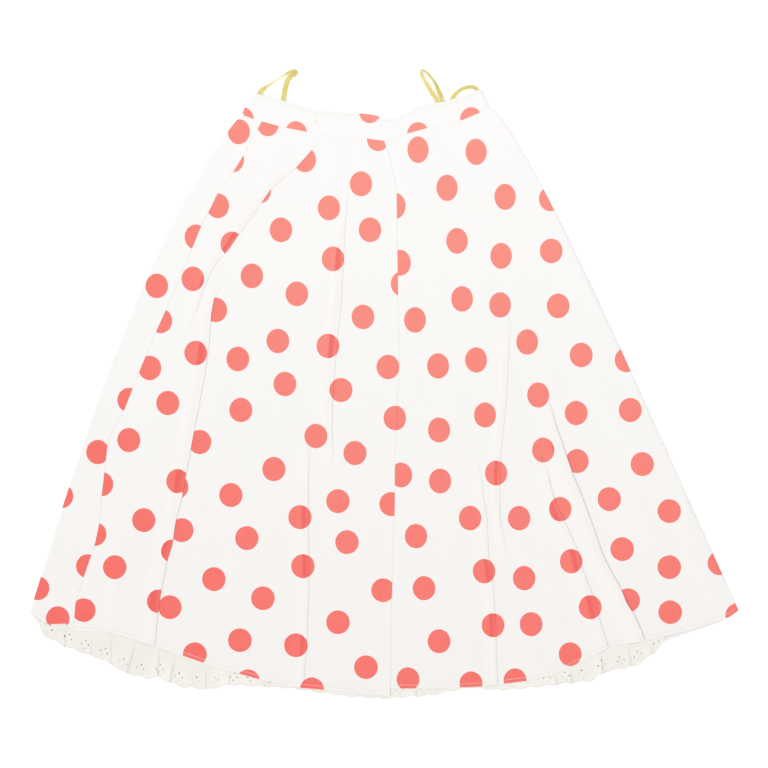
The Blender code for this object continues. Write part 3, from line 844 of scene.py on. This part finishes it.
def stitches(name, runs, **sizes):
    piece = runTree(lineObject(name, runs), stitchRow, Finish=threadWhite, **sizes)
    return dress(piece, "dotted_cotton", threadWhite)


def cottonPiece(name, node, grid, inside, thickness, tuckShade=None):
    piece = thicken(gridMesh(name, *grid, inside, tuckShade=tuckShade), thickness)
    return dress(piece, "dotted_cotton", cotton, node)


# The panels. Their rows are shares of the length, closer at both ends.

panelRows = {
    "waist": (-0.004, -0.001),
    "even": (0.002, 0.985),
    "hem": (0.988, 0.991, 0.9938, 0.9965, 0.9985, 1.0),
    "stitched": -4,
    "front": 150,
    "back": 110,
}


def rowsDown(count):
    return [*panelRows["waist"], *np.linspace(*panelRows["even"], count), *panelRows["hem"]]


def evenly(start, end, count, total):
    return [start + (end - start) * k / total for k in range(1, count + 1)]


def frontGrid(side, tucks, downs, firsts, lasts):
    # The middle of a front panel's cloth, and the columns of its tucks
    group = sorted(named(tucks), key=lambda fold: crossing(side, fold["path"], folds["orderDown"]))
    counts, reached, width = [], firsts[-1], panelWidth(side, 1.0)
    for fold in group + [None]:
        steps = tuckPath(fold, 1.0) if fold else [(0.0, 0.0)]
        place = crossing(side, fold["path"], 1.0) if fold else lasts[-1]
        gap = place + steps[0][0] / width - reached
        counts.append(max(folds["leastColumns"], round(gap * width / folds["columnStep"])))
        reached = place + steps[-1][0] / width
    rows, marks = [], {}
    for down, first, last in zip(downs, firsts, lasts):
        width, reached = panelWidth(side, down), first
        across, lift = [first], [0.0]
        for fold, count in zip(group, counts):
            place, steps = crossing(side, fold["path"], down), tuckPath(fold, down)
            across += evenly(reached, place + steps[0][0] / width, count, count + 1)
            lift += [0.0] * count
            marks[fold["name"]] = (len(across) + folds["rampSteps"] - 1, len(across) + len(steps) - 1)
            across += [place + x / width for x, z in steps]
            lift += [z for x, z in steps]
            reached = place + steps[-1][0] / width
        across += evenly(reached, last, counts[-1], counts[-1])
        lift += [0.0] * counts[-1]
        rows.append(np.stack([*onPanel(side, across, down), np.array(lift)]))
    return (*np.stack(rows, axis=1), marks)


def paintTuckShade(x, marks, downs, tucks):
    # Painted shade at the tucks: where a tuck lays cloth over cloth, a field that darkens the colour there
    deep = np.zeros_like(x)
    for fold in named(tucks):
        share = np.array([strength(fold, down) for down in downs])[:, None]
        off = x - x[:, marks[fold["name"]][0]][:, None]
        reach = folds["leastOverlap"] + fold["overlap"]
        inside = smoothStep(off, -reach - folds["tuckShadeSoft"], -reach) * fadeOut(off, *folds["tuckShadeEnd"])
        deep = np.maximum(deep, inside * share)
    return deep


def hemLift(downs):
    # The cloth falls towards its turned hem, whose edge rounds down
    above = (1 - np.array(downs)[:, None]) * skirt["length"]
    lift = sum(height * fadeOut(above, start, end) for height, start, end in skirt["hemLifts"])
    return lift + dip(skirt["hemStitchDip"], above - skirt["hemStitchUp"])


waistSeam = {
    "pucker": 0.28,
    "reach": 22.0,
    "from": 5.0,
    "free": (-1.0, 8.0),
    "sink": 0.5,
    "sinkTo": (-1.0, 1.2),
}


def liftAll(x, y, downs):
    # Near the waistband the cloth puckers a little, and goes down to its seam
    below = valueAt(wholeWaist, x) - y
    wave = np.sin(x * 0.31 + 2.0 * np.sin(x * 0.05)) * 0.5 + 0.5 * np.sin(x * 0.53 + 1.0)
    fade = np.exp(-(np.maximum(below, 0.0) / waistSeam["reach"]))
    puckers = waistSeam["pucker"] * wave * fade * smoothStep(below, 0.0, waistSeam["from"])
    sunk = waistSeam["sink"] * fadeOut(below, *waistSeam["sinkTo"])
    free = smoothStep(below, *waistSeam["free"])
    return (creaseHeight(x, y, creases) + ripple(x, y)) * free - sunk + hemLift(downs) + puckers


def lapped(x, z, column, rise):
    # Cloth rises or dips to its first or last column, where a seam is
    inwards = x - x[:, :1] if column == 0 else x[:, -1:] - x
    return z + fadeOut(inwards, 0.0, skirt["lapWidth"]) * rise


def rollOver(x, y, z):
    # The last columns lap past the seam, and the edge rounds down
    past, drop = np.array(skirt["lapOver"]).T
    return [np.hstack([field, field[:, -1:] + way]) for field, way in ((x, past), (y, 0 * past), (z, drop))]


def printOf(x, y, *names):
    return [cornersOf(insideDots(x, y, name)) for name in names]


def quadsOf(x, downs):
    # The middle of each quad's row, and its column
    return 0.5 * (np.array(downs)[1:] + np.array(downs)[:-1])[:, None], np.arange(x.shape[1] - 1)[None, :]


# Where the print changes from one strip of cloth to the next
strips = {"pastCrest": 3, "leftChange": 0.33, "rightChange": 0.56}
rightEdge = {"turn": 1.25, "inset": 0.55, "lift": 0.1, "angles": (15, 30, 45, 60, 75, 90)}


def sideSeamAt(down):
    return crossing("Left", skirt["sideSeam"][1:], down)


def frontLeftPanel():
    downs = rowsDown(panelRows["front"])
    half, over = skirt["seamGap"] / 2, skirt["lapOver"][-1][0]
    seams, widths = [sideSeamAt(d) for d in downs], [panelWidth("Left", d) for d in downs]
    firsts = [seam + (half - over) / width for seam, width in zip(seams, widths)]
    lasts = [1.0 - (half + over) / width for width in widths]
    x, y, lift, marks = frontGrid("Left", leftTucks, downs, firsts, lasts)
    z = lapped(x, skirt["frontZ"] + lift + liftAll(x, y, downs), 0, -skirt["lapDown"])
    x, y, z = rollOver(x, y, lapped(x, z, -1, skirt["lapUp"]))
    # The strip left of the tucks was cut apart from the rest by them
    down, column = quadsOf(x, downs)
    upper, main = (marks[name][0] + strips["pastCrest"] for name in ("upper", "main"))
    isSide = (column < np.where(down < strips["leftChange"], upper, main)).reshape(-1, 1)
    inside = np.where(isSide, *printOf(x, y, "side", "left"))
    # Painted shade along the tucks
    tuckShade = paintTuckShade(x, marks, downs, leftTucks)
    piece = cottonPiece("frontLeft", "front_left_panel", (x, y, z), inside, skirt["thickness"], tuckShade)
    return piece, (x, y, z, marks)


def frontRightPanel():
    downs = rowsDown(panelRows["front"])
    turn, inset = rightEdge["turn"], rightEdge["inset"]
    firsts = [(skirt["seamGap"] / 2 - skirt["lapOver"][-1][0]) / panelWidth("Right", d) for d in downs]
    lasts = [1.0 - (turn + inset) / panelWidth("Right", d) for d in downs]
    x, y, lift, marks = frontGrid("Right", rightTucks, downs, firsts, lasts)
    z = lapped(x, skirt["frontZ"] + lift + liftAll(x, y, downs), 0, -skirt["lapDown"])
    edge = np.array([onPanel("Right", 1.0, d) for d in downs])
    angles = np.radians(rightEdge["angles"])[None, :]
    x = np.hstack([x, edge[:, :1] - inset - turn * (1 - np.sin(angles))])
    y = np.hstack([y, edge[:, 1:] + 0 * angles])
    z = np.hstack([z, skirt["frontZ"] - turn * (1 - np.cos(angles)) + rightEdge["lift"] + 0 * edge[:, :1]])
    # Above the deep tuck the print runs on, and below it the tuck parts it
    down, column = quadsOf(x, downs)
    isLow, isPast = down > strips["rightChange"], column > marks["deep"][0] + strips["pastCrest"]
    inner, flank = printOf(x, y, "right", "flank")
    inside = np.where((isLow & isPast).reshape(-1, 1), flank, np.maximum(inner, flank))
    inside = np.where((isLow & ~isPast).reshape(-1, 1), inner, inside)
    # Painted shade along the tucks
    tuckShade = paintTuckShade(x, marks, downs, rightTucks)
    piece = cottonPiece("frontRight", "front_right_panel", (x, y, z), inside, skirt["thickness"], tuckShade)
    return piece, (x, y, z, marks)


# The back's columns, from the right edge to the left and over it
backColumns = {
    "right": 62,
    "left": 70,
    "turn": 11,
    "front": 20,
    "rightInset": 0.5,
    "leftInset": 0.3,
    "leastReach": 0.0006,
    "turnAngles": (15, 165),
    "turnShares": (0.08, 0.92),
    "creaseFree": (4.0, 30.0),
    "flatTo": 0.01,
    "topFrom": 1.2,
    "printFrom": 2,
}


def backPanel():
    # Flat from the right edge to the left, then over the left edge to its seam
    downs, counts = rowsDown(panelRows["back"]), backColumns
    backZ, frontZ = skirt["backZ"], skirt["frontZ"]
    turn, flat = (frontZ - backZ) / 2, counts["right"] + counts["left"]
    angles = np.radians(np.linspace(*counts["turnAngles"], counts["turn"]))
    share = np.linspace(*counts["turnShares"], counts["turn"])
    over = skirt["seamGap"] / 2 + skirt["lapOver"][-1][0]
    parts = []
    for down in downs:
        width = panelWidth("Left", down)
        inset = (turn + counts["leftInset"]) / width
        reach = max(sideSeamAt(down) - over / width, inset + counts["leastReach"])
        outer = 1.0 - counts["rightInset"] / panelWidth("Right", down)
        right = onPanel("Right", np.linspace(outer, 0.0, counts["right"] + 1)[:-1], down, "backHem")
        left = onPanel("Left", np.linspace(1.0, inset, counts["left"]), down, "backHem")
        edgeX, edgeY = onPanel("Left", inset, down, "backHem")
        front = onPanel("Left", inset + (reach - inset) * np.linspace(0.0, 1.0, counts["front"]), down)
        x = np.concatenate([right[0], left[0], edgeX - turn * np.sin(angles), front[0]])
        y = np.concatenate([right[1], left[1], edgeY + share * (front[1][0] - edgeY), front[1]])
        rounded = backZ + turn * (1 - np.cos(angles))
        z = np.concatenate([np.full(flat, backZ), rounded, np.full(counts["front"], frontZ)])
        parts.append(np.stack([x, y, z]))
    x, y, z = np.stack(parts, axis=1)
    lifted = creaseHeight(x, y, backCreases) * smoothStep(x - x[:, flat - 1 : flat], *counts["creaseFree"])
    top = smoothStep(z, frontZ - counts["topFrom"], frontZ) * liftAll(x, y, downs)
    z = z + np.where(z < backZ + counts["flatTo"], lifted, top)
    rolled = slice(flat + counts["turn"], None)
    z[:, rolled] = lapped(x[:, rolled], z[:, rolled], -1, skirt["lapUp"])
    x, y, z = rollOver(x, y, z)
    isWrap = np.tile(np.arange(x.shape[1] - 1) >= flat + counts["printFrom"], x.shape[0] - 1).reshape(-1, 1)
    inside = np.where(isWrap, *printOf(x, y, "wrap", "back"))
    return cottonPiece("back", "back_panel", (x, y, z), inside, skirt["thickness"])


frontLeft, leftGrid = frontLeftPanel()
frontRight, rightGrid = frontRightPanel()
back = backPanel()
print("panels made")

stitchLine = {"before": 4, "clear": 1.2, "after": 2, "leastRun": 2, "above": 0.12, "bandAbove": 0.16}
hemSkips = {"left": 8, "right": 7}


def hemRuns(grid, skipEnd):
    # The hem's stitching line on the cloth that shows, broken at the tucks
    x, y, z = (field[panelRows["stitched"]] for field in grid[:3])
    hidden = set()
    for crest, end in grid[3].values():
        clear = end - stitchLine["before"]
        while x[clear] <= x[crest] + stitchLine["clear"]:
            clear += 1
        hidden |= set(range(crest + stitchLine["after"], clear))
    runs, run = [], []
    for k in range(len(x) - skipEnd):
        if k not in hidden:
            run.append((x[k], y[k], z[k] + skirt["thickness"] / 2 + stitchLine["above"]))
        else:
            runs += [run] if len(run) > stitchLine["leastRun"] else []
            run = []
    return runs + [run]


hemLines = hemRuns(leftGrid, hemSkips["left"]) + hemRuns(rightGrid, hemSkips["right"])
hemStitches = stitches("hemStitches", hemLines, Width=0.0008)


# The waistband: two layers of cloth with a folded top edge

band = {
    "top": (
        ("x", "y"), (-195, 418), (-183, 420), (-146, 410), (-100, 396), (-20, 390), (0, 385), (18, 385),
        (46, 399), (60, 405), (91, 409), (115, 418), (139, 426), (144, 423),
    ),
    "pieces": (
        ("name", "node", "fromX", "toX"),
        ("bandSideLeft", "waistband_side_left", -206, -100),
        ("bandCentreLeft", "waistband_centre_left", -100, -1),
        ("bandCentreRight", "waistband_centre_right", -1, 115),
        ("bandSideRight", "waistband_side_right", 115, 154),
    ),
    "back": {"fromX": -205.5, "toX": 153.5, "top": 0.93, "puff": 0.6},
    "frontZ": 4.05,
    "backZ": 0.75,
    "thickness": 0.55,
    "height": 35.0,
    "columnStep": 2.0,
    "leastColumns": 16,
    "rows": 17,
    "topRoll": 0.42,
    "rollAngles": (30, 60, 90, 120, 150, 180),
    "insideDown": (0.12, 0.35),
    "puff": 0.28,
    "wave": (0.10, 0.16, 3),
    "lowDip": (0.6, 4.0),
    "seamDip": (0.3, 1.3),
    "drop": 1.5,
    "dropWidth": 5.0,
    "stitchDown": 4.0,
    "stitchDip": (0.22, 0.9),
    "stitchInset": 2.5,
    "stitchPoints": 60,
}


def onBand(seamX, up):
    bottom = rowsOf(wholeWaist)
    topX, topY = onEdge(band["top"], (seamX - bottom[0, 0]) / (bottom[-1, 0] - bottom[0, 0]))
    lowY = valueAt(wholeWaist, seamX) + skirt["seamGap"]
    return seamX + up * (topX - seamX), lowY + up * (topY - lowY)


def bandGrid(start, end, top=1.0, ends=(False, False)):
    columns = max(band["leastColumns"], round((end - start) / band["columnStep"]))
    seamX = np.linspace(start, end, columns)[None, :]
    count, radius, angles = band["rows"], band["topRoll"], np.radians(band["rollAngles"])
    ups = [*np.linspace(0.0, 1.0, count) * top, *[top] * len(angles), *(top - d for d in band["insideDown"])]
    out = np.concatenate([np.zeros(count), radius * np.sin(angles), [0.0, 0.0]])
    deep = np.concatenate([np.zeros(count), -radius * (1 - np.cos(angles)), [-2 * radius, -2 * radius]])
    waveHeight, waveTurn, waveUp = band["wave"]
    rows = []
    for k, (up, dy, dz) in enumerate(zip(ups, out, deep)):
        px, py = onBand(seamX, up)
        pz = px * 0 + dz
        if k < count:
            pz += band["puff"] * math.sin(math.pi * min(1.0, up / top)) ** 0.5
            pz += dip(band["stitchDip"], (top - up) * band["height"] - band["stitchDown"])
            pz += waveHeight * np.sin(px * waveTurn + waveUp * up) * math.sin(math.pi * min(1.0, up))
        rows.append(np.vstack([px, py + dy, pz + dip(band["lowDip"], up * band["height"])]))
    x, y, z = np.stack(rows, axis=1)
    for isEnd, edge in zip(ends, (seamX[0, 0], seamX[0, -1])):
        gap = np.abs(seamX - edge)
        if isEnd:
            z = z - band["drop"] * fadeOut(gap, 0.0, band["dropWidth"])
        else:
            z = z + dip(band["seamDip"], gap)
    return x[::-1], y[::-1], z[::-1]


def waistband():
    made, pieces = [], named(band["pieces"])
    for piece in pieces:
        x, y, z = bandGrid(piece["fromX"], piece["toX"], ends=(piece is pieces[0], piece is pieces[-1]))
        inside = printOf(x, y, piece["name"])[0]
        grid = (x, y, z + band["frontZ"])
        made.append(cottonPiece(piece["name"], piece["node"], grid, inside, band["thickness"]))
    behind = band["back"]
    x, y, z = (field[:, ::-1] for field in bandGrid(behind["fromX"], behind["toX"], behind["top"]))
    grid, inside = (x, y, band["backZ"] - behind["puff"] * z), printOf(x, y, "bandBack")[0]
    made.append(cottonPiece("bandBack", "waistband_back", grid, inside, band["thickness"]))
    return made


def bandStitches():
    runs, up = [], 1.0 - band["stitchDown"] / band["height"]
    z = band["frontZ"] + band["thickness"] / 2 + stitchLine["bandAbove"]
    for piece in named(band["pieces"]):
        ends = (piece["fromX"] + band["stitchInset"], piece["toX"] - band["stitchInset"])
        px, py = onBand(np.linspace(*ends, band["stitchPoints"]), up)
        runs.append([(x, y, z) for x, y in zip(px, py)])
    return stitches("bandStitches", runs, Width=0.0006)


bandParts = waistband()
bandStitches()
print("waistband made")


# The eyelet trim on the underskirt's hem

trim = {
    "edge": (
        ("x", "y"), (-500, -351), (-492, -366), (-464, -381), (-405, -402), (-376, -419), (-342, -429),
        (-329, -425), (-294, -440), (-255, -444), (-223, -437), (-135, -442), (-60, -453), (0, -457),
        (71, -452), (120, -441), (171, -445), (223, -440), (302, -431), (319, -419), (365, -410),
        (394, -389), (408, -370),
    ),
    "folds": (
        ("topX", "footX", "height", "ramp"),
        (-461, -464, 1.7, 12), (-424, -426, 0.9, 9), (-396, -397, 1.4, 13), (-361, -374, 2.5, 14),
        (-326, -329, 1.9, 12), (-303, -311, 2.7, 15), (-258, -259, 1.5, 12), (-223, -225, 1.8, 12),
        (-170, -174, 1.4, 14), (-98, -100, 1.2, 12), (-30, -32, 1.4, 13), (44, 46, 1.3, 12),
        (112, 115, 1.5, 14), (186, 188, 1.3, 12), (246, 250, 1.8, 13), (268, 272, 2.2, 12),
        (312, 317, 2.4, 13), (352, 358, 1.7, 12), (382, 388, 1.3, 10),
    ),
    "z": 1.25,
    "rise": 0.4,
    "thickness": 0.45,
    "depth": 60.0,
    "narrowing": 0.95,
    "thickness": 0.45,
    "depth": 60.0,
    "narrowing": 0.95,
    "columns": 900,
    "fineRows": (26, 0.95),
    "coarseRows": (26.5, 14),
    "scallopPitch": 24.5,
    "scallopDepth": 2.8,
    "scallopUp": 7.0,
    "flowerPitch": 27.0,
    "flowerUp": 12.5,
    "flowerRadius": 5.0,
    "flowerFrom": 9.0,
    "flowerTo": 6.0,
    "holeRadius": 1.3,
    "holeReach": (0.6, 0.45),
    "holeCut": 0.12,
    "rimRadius": 1.08,
    "rimProbe": 0.8,
    "rimThread": 0.0003,
    "foldLength": 45.0,
    "foldBeyond": 1.3,
    "foldBack": 1.6,
    "foldOver": 0.3,
    "foldFree": (0.02, 0.55),
    "underTo": 0.9,
    "leastOut": 14.0,
    "soft": 0.25,
    "softTurns": (0.11, 1.5, 0.023),
    "cordOut": 0.3,
}


def trimSheet():
    length = trim["edge"][-1][0] - trim["edge"][1][0]
    share = np.linspace(0.0, 1.0, trim["columns"] + 1)[None, :]
    footX, footY = onEdge(trim["edge"], share)
    wave = np.abs(np.sin(math.pi * share * round(length / trim["scallopPitch"]))) ** 0.8
    (count, step), (start, more) = trim["fineRows"], trim["coarseRows"]
    ups = np.array([*np.arange(0, count) * step, *np.linspace(start, trim["depth"], more)])[::-1][:, None]
    x = footX * (1 - (1 - trim["narrowing"]) * ups / trim["depth"])
    y = footY + ups + trim["scallopDepth"] * (1 - wave) * np.clip(1 - ups / trim["scallopUp"], 0.0, 1.0)
    return x, y, ups + 0 * x, share * length + 0 * x


def trimHeight(x, y):
    hemY, edgeY = valueAt(wholeHem, x), valueAt(trim["edge"], x)
    out = np.clip((hemY - y) / np.maximum(hemY - edgeY, trim["leastOut"]), -1.0, 1.0)
    rise, t = np.zeros_like(x), np.clip((y - edgeY) / trim["foldLength"], 0.0, trim["foldBeyond"])
    for fold in named(trim["folds"]):
        gap = fold["footX"] + (fold["topX"] - fold["footX"]) * t - x
        ramp, back = fadeOut(gap, 0.0, fold["ramp"]), fadeOut(-gap, 0.0, trim["foldBack"])
        rise = np.maximum(rise, fold["height"] * np.where(gap > 0, ramp, back))
    turn, swing, slow = trim["softTurns"]
    soft = trim["soft"] * np.sin(x * turn + swing * np.sin(x * slow)) * np.clip(out, 0.0, 1.0)
    under = trim["rise"] * fadeOut(out, 0.0, trim["underTo"])
    folded = (rise - under * (rise > trim["foldOver"])) * smoothStep(out, *trim["foldFree"])
    return trim["z"] + under + folded + soft


def flowerHoles(length):
    # Each flower is four small holes round a centre
    holes = []
    for k, centre in enumerate(np.arange(trim["flowerFrom"], length - trim["flowerTo"], trim["flowerPitch"])):
        middle = np.array([centre + 1.3 * math.sin(k * 2.1), trim["flowerUp"] + 0.8 * math.sin(k * 1.3)])
        for quarter in range(4):
            a = math.radians(90 * quarter + 8 * math.sin(k * 3.7))
            holes.append(middle + trim["flowerRadius"] * np.array([math.cos(a), math.sin(a)]))
    return holes


def rimSeats(centres):
    # A small triangle for each rim, tilted as the cloth is there
    x, y = np.array(centres).T
    probe, z = trim["rimProbe"], trimHeight(x, y)
    slopes = (trimHeight(x + probe, y) - trimHeight(x - probe, y)) / (2 * probe)
    corners = []
    for px, py, pz, slope in zip(x, y, z, slopes):
        tilt = np.array([-slope, 0.0, 1.0]) / math.hypot(slope, 1.0)
        base, side = np.array([px, py, pz]), 0.01 * np.array([tilt[2], 0.0, -tilt[0]])
        corners += [tuple(p * mm) for p in (base + side, base + np.array([0, 0.01, 0]), base - side)]
    faces = [(k, k + 1, k + 2) for k in range(0, len(corners), 3)]
    return addObject("eyeletRims", meshOf("eyeletRims", corners, [], faces))


def eyeletTrim():
    x, y, ups, along = trimSheet()
    flat, radius = np.stack([along, ups], axis=2), trim["holeRadius"]
    keep, centres = np.ones((x.shape[0] - 1) * (x.shape[1] - 1), bool), []
    inner, outer = trim["holeReach"]
    for hole in flowerHoles(along.max()):
        # Nearby points move to the hole's edge, and the quads inside go
        away = flat - hole
        distance = np.maximum(np.linalg.norm(away, axis=2), 1e-6)
        nearEdge = (distance > inner * radius) & (distance < radius + outer)
        move = away * (np.where(nearEdge, radius / distance, 1.0) - 1.0)[:, :, None]
        x, y, flat = x + move[:, :, 0], y + move[:, :, 1], flat + move
        distance = np.linalg.norm(flat - hole, axis=2)
        keep &= cornersOf(distance).mean(axis=1) > radius - trim["holeCut"]
        at = np.unravel_index(np.argmin(distance), distance.shape)
        centres.append(np.array([x[at], y[at]]) - (flat[at] - hole))
    z = trimHeight(x, y)
    sheet = thicken(gridMesh("eyeletTrim", x, y, z, keep=keep), trim["thickness"])
    dress(sheet, "eyelet_cotton", eyeletWhite, "eyelet_trim")
    sizes = {"Radius": radius * mm * trim["rimRadius"], "Thread": trim["rimThread"]}
    rims = runTree(rimSeats(centres), eyeletRims, Finish=threadWhite, **sizes)
    border = [(x[-1, k], y[-1, k] + trim["cordOut"], z[-1, k]) for k in range(0, x.shape[1], 2)]
    cord = runTree(lineObject("scallopCord", [border]), cordedEdge, Finish=threadWhite, Radius=0.00065)
    return sheet, dress(rims, "eyelet_cotton", threadWhite), dress(cord, "eyelet_cotton", threadWhite)


trimCloth, trimRims, trimCord = eyeletTrim()
print("eyelet trim made")


# Hanger loops of narrow ribbon

loops = {
    "thickness": 0.4,
    "width": {"left": 7.4, "right": 6.4, "outer": 5.4},
    "across": 9,
    "cup": (0.18, 0.05, 0.9),
    "left": (
        ("x", "y", "z", "turn"), (-180, 404, 2.3, 0), (-181, 414, 2.3, 0), (-179, 423, 2.3, 4),
        (-169, 432, 3.4, 55), (-150, 445, 3.8, 75), (-138, 451.5, 3.6, 50), (-129, 453.0, 3.3, 30),
        (-129.5, 449.0, 3.2, 30), (-136, 444.5, 3.0, 25), (-141, 437, 2.6, 10), (-145, 419, 2.3, 0),
        (-146, 406, 2.3, 0), (-146, 396, 2.3, 0),
    ),
    "right": (
        ("x", "y", "z", "turn"), (79, 391, 2.3, 0), (77.5, 402, 2.3, 0), (75.5, 412, 2.3, 2),
        (66, 427, 3.0, 40), (55, 445, 3.4, 60), (53, 453.0, 3.4, 62), (57, 455.0, 3.4, 62),
        (62.5, 451, 3.4, 60), (73, 438, 3.2, 45), (80, 423, 2.6, 20), (84, 412, 2.3, 2), (87, 393, 2.3, 0),
    ),
    "outer": (
        ("x", "y", "z", "turn"), (95, 402, 2.3, 0), (97, 411, 2.3, 0), (104, 420.5, 2.4, 10),
        (113, 427.5, 2.6, 20), (124, 430.5, 2.6, 20), (133, 428.5, 2.4, 10), (136, 421, 2.3, 0),
        (133, 410, 2.3, 0),
    ),
}


def smoothRoute(table, steps=8):
    p = rowsOf(table)
    ends = np.vstack([2 * p[0] - p[1], p, 2 * p[-1] - p[-2]])
    route = []
    for i in range(1, len(ends) - 2):
        a, b, c, d = ends[i - 1 : i + 3]
        for t in np.arange(steps) / steps:
            bend = (2 * a - 5 * b + 4 * c - d) * t**2 + (3 * b - a - 3 * c + d) * t**3
            route.append(0.5 * (2 * b + (c - a) * t + bend))
    route.append(p[-1])
    return np.array(route)


def hangerLoop(name, side, node):
    route, width = smoothRoute(loops[side]), loops["width"][side]
    shares, (deep, sway, swayTurn) = np.linspace(-0.5, 0.5, loops["across"]), loops["cup"]
    points = []
    for i, (x, y, z, turn) in enumerate(route):
        ahead = route[min(i + 1, len(route) - 1), :3] - route[max(i - 1, 0), :3]
        heading = ahead[:2] / np.linalg.norm(ahead[:2])
        across, a = np.array([heading[1], -heading[0], 0.0]), math.radians(turn)
        wide = across * math.cos(a) + np.array([0, 0, math.sin(a)])
        thick = -across * math.sin(a) + np.array([0, 0, math.cos(a)])
        cup = deep * (1 - (2 * shares) ** 2) + sway * math.sin(i * swayTurn)
        points.append([np.array([x, y, z]) + s * width * wide + c * thick for s, c in zip(shares, cup)])
    piece = gridMesh(name, *np.moveaxis(np.array(points), 2, 0))
    return dress(thicken(piece, loops["thickness"]), "yellow_ribbon", ribbonYellow, node)


hangerLoop("loopLeft", "left", "hanger_loop_left")
hangerLoop("loopRight", "right", "hanger_loop_right")
hangerLoop("loopOuter", "outer", "hanger_loop_right_outer")
print("hanger loops made")


# Light, floor and camera

studio = {
    "worldStrength": 0.85,
    "sunStrength": 1.2,
    "sunTurn": (28, 0, -67),
    "sunSoftness": 50,
    "floorReach": 6.0,
    "floorZ": -0.0004,
    "lens": 135.0,
    "sensor": 36.0,
    "halfWidth": 0.5568,
}

world = bpy.data.worlds.new("studioSky")
world.use_nodes = True
world.node_tree.nodes["Background"].inputs["Color"].default_value = (1, 1, 1, 1)
world.node_tree.nodes["Background"].inputs["Strength"].default_value = studio["worldStrength"]
scene.world = world

sun = bpy.data.lights.new("windowLight", "SUN")
sun.energy = studio["sunStrength"]
sun.angle = math.radians(studio["sunSoftness"])
addObject("windowLight", sun).rotation_euler = [math.radians(a) for a in studio["sunTurn"]]

whitePaper = {
    "Base Color": (0.9, 0.9, 0.9, 1),
    "Roughness": 0.9,
    "Emission Color": (1, 1, 1, 1),
    "Emission Strength": 0.25,
}
floorCorners = []
for acrossWay, upWay in ((-1, -1), (1, -1), (1, 1), (-1, 1)):
    floorCorners.append((acrossWay * studio["floorReach"], upWay * studio["floorReach"], studio["floorZ"]))
floor = addObject("floor", meshOf("floor", floorCorners, [], [(0, 1, 2, 3)]))
floor.data.materials.append(newMaterial("whitePaper", whitePaper)[0])

camera = bpy.data.cameras.new("camera")
camera.lens, camera.sensor_width = studio["lens"], studio["sensor"]
scene.camera = addObject("camera", camera)
scene.camera.location = (0, 0, studio["halfWidth"] * studio["lens"] / (studio["sensor"] / 2))
scene.view_settings.view_transform = "Standard"
print("light, floor and camera made")
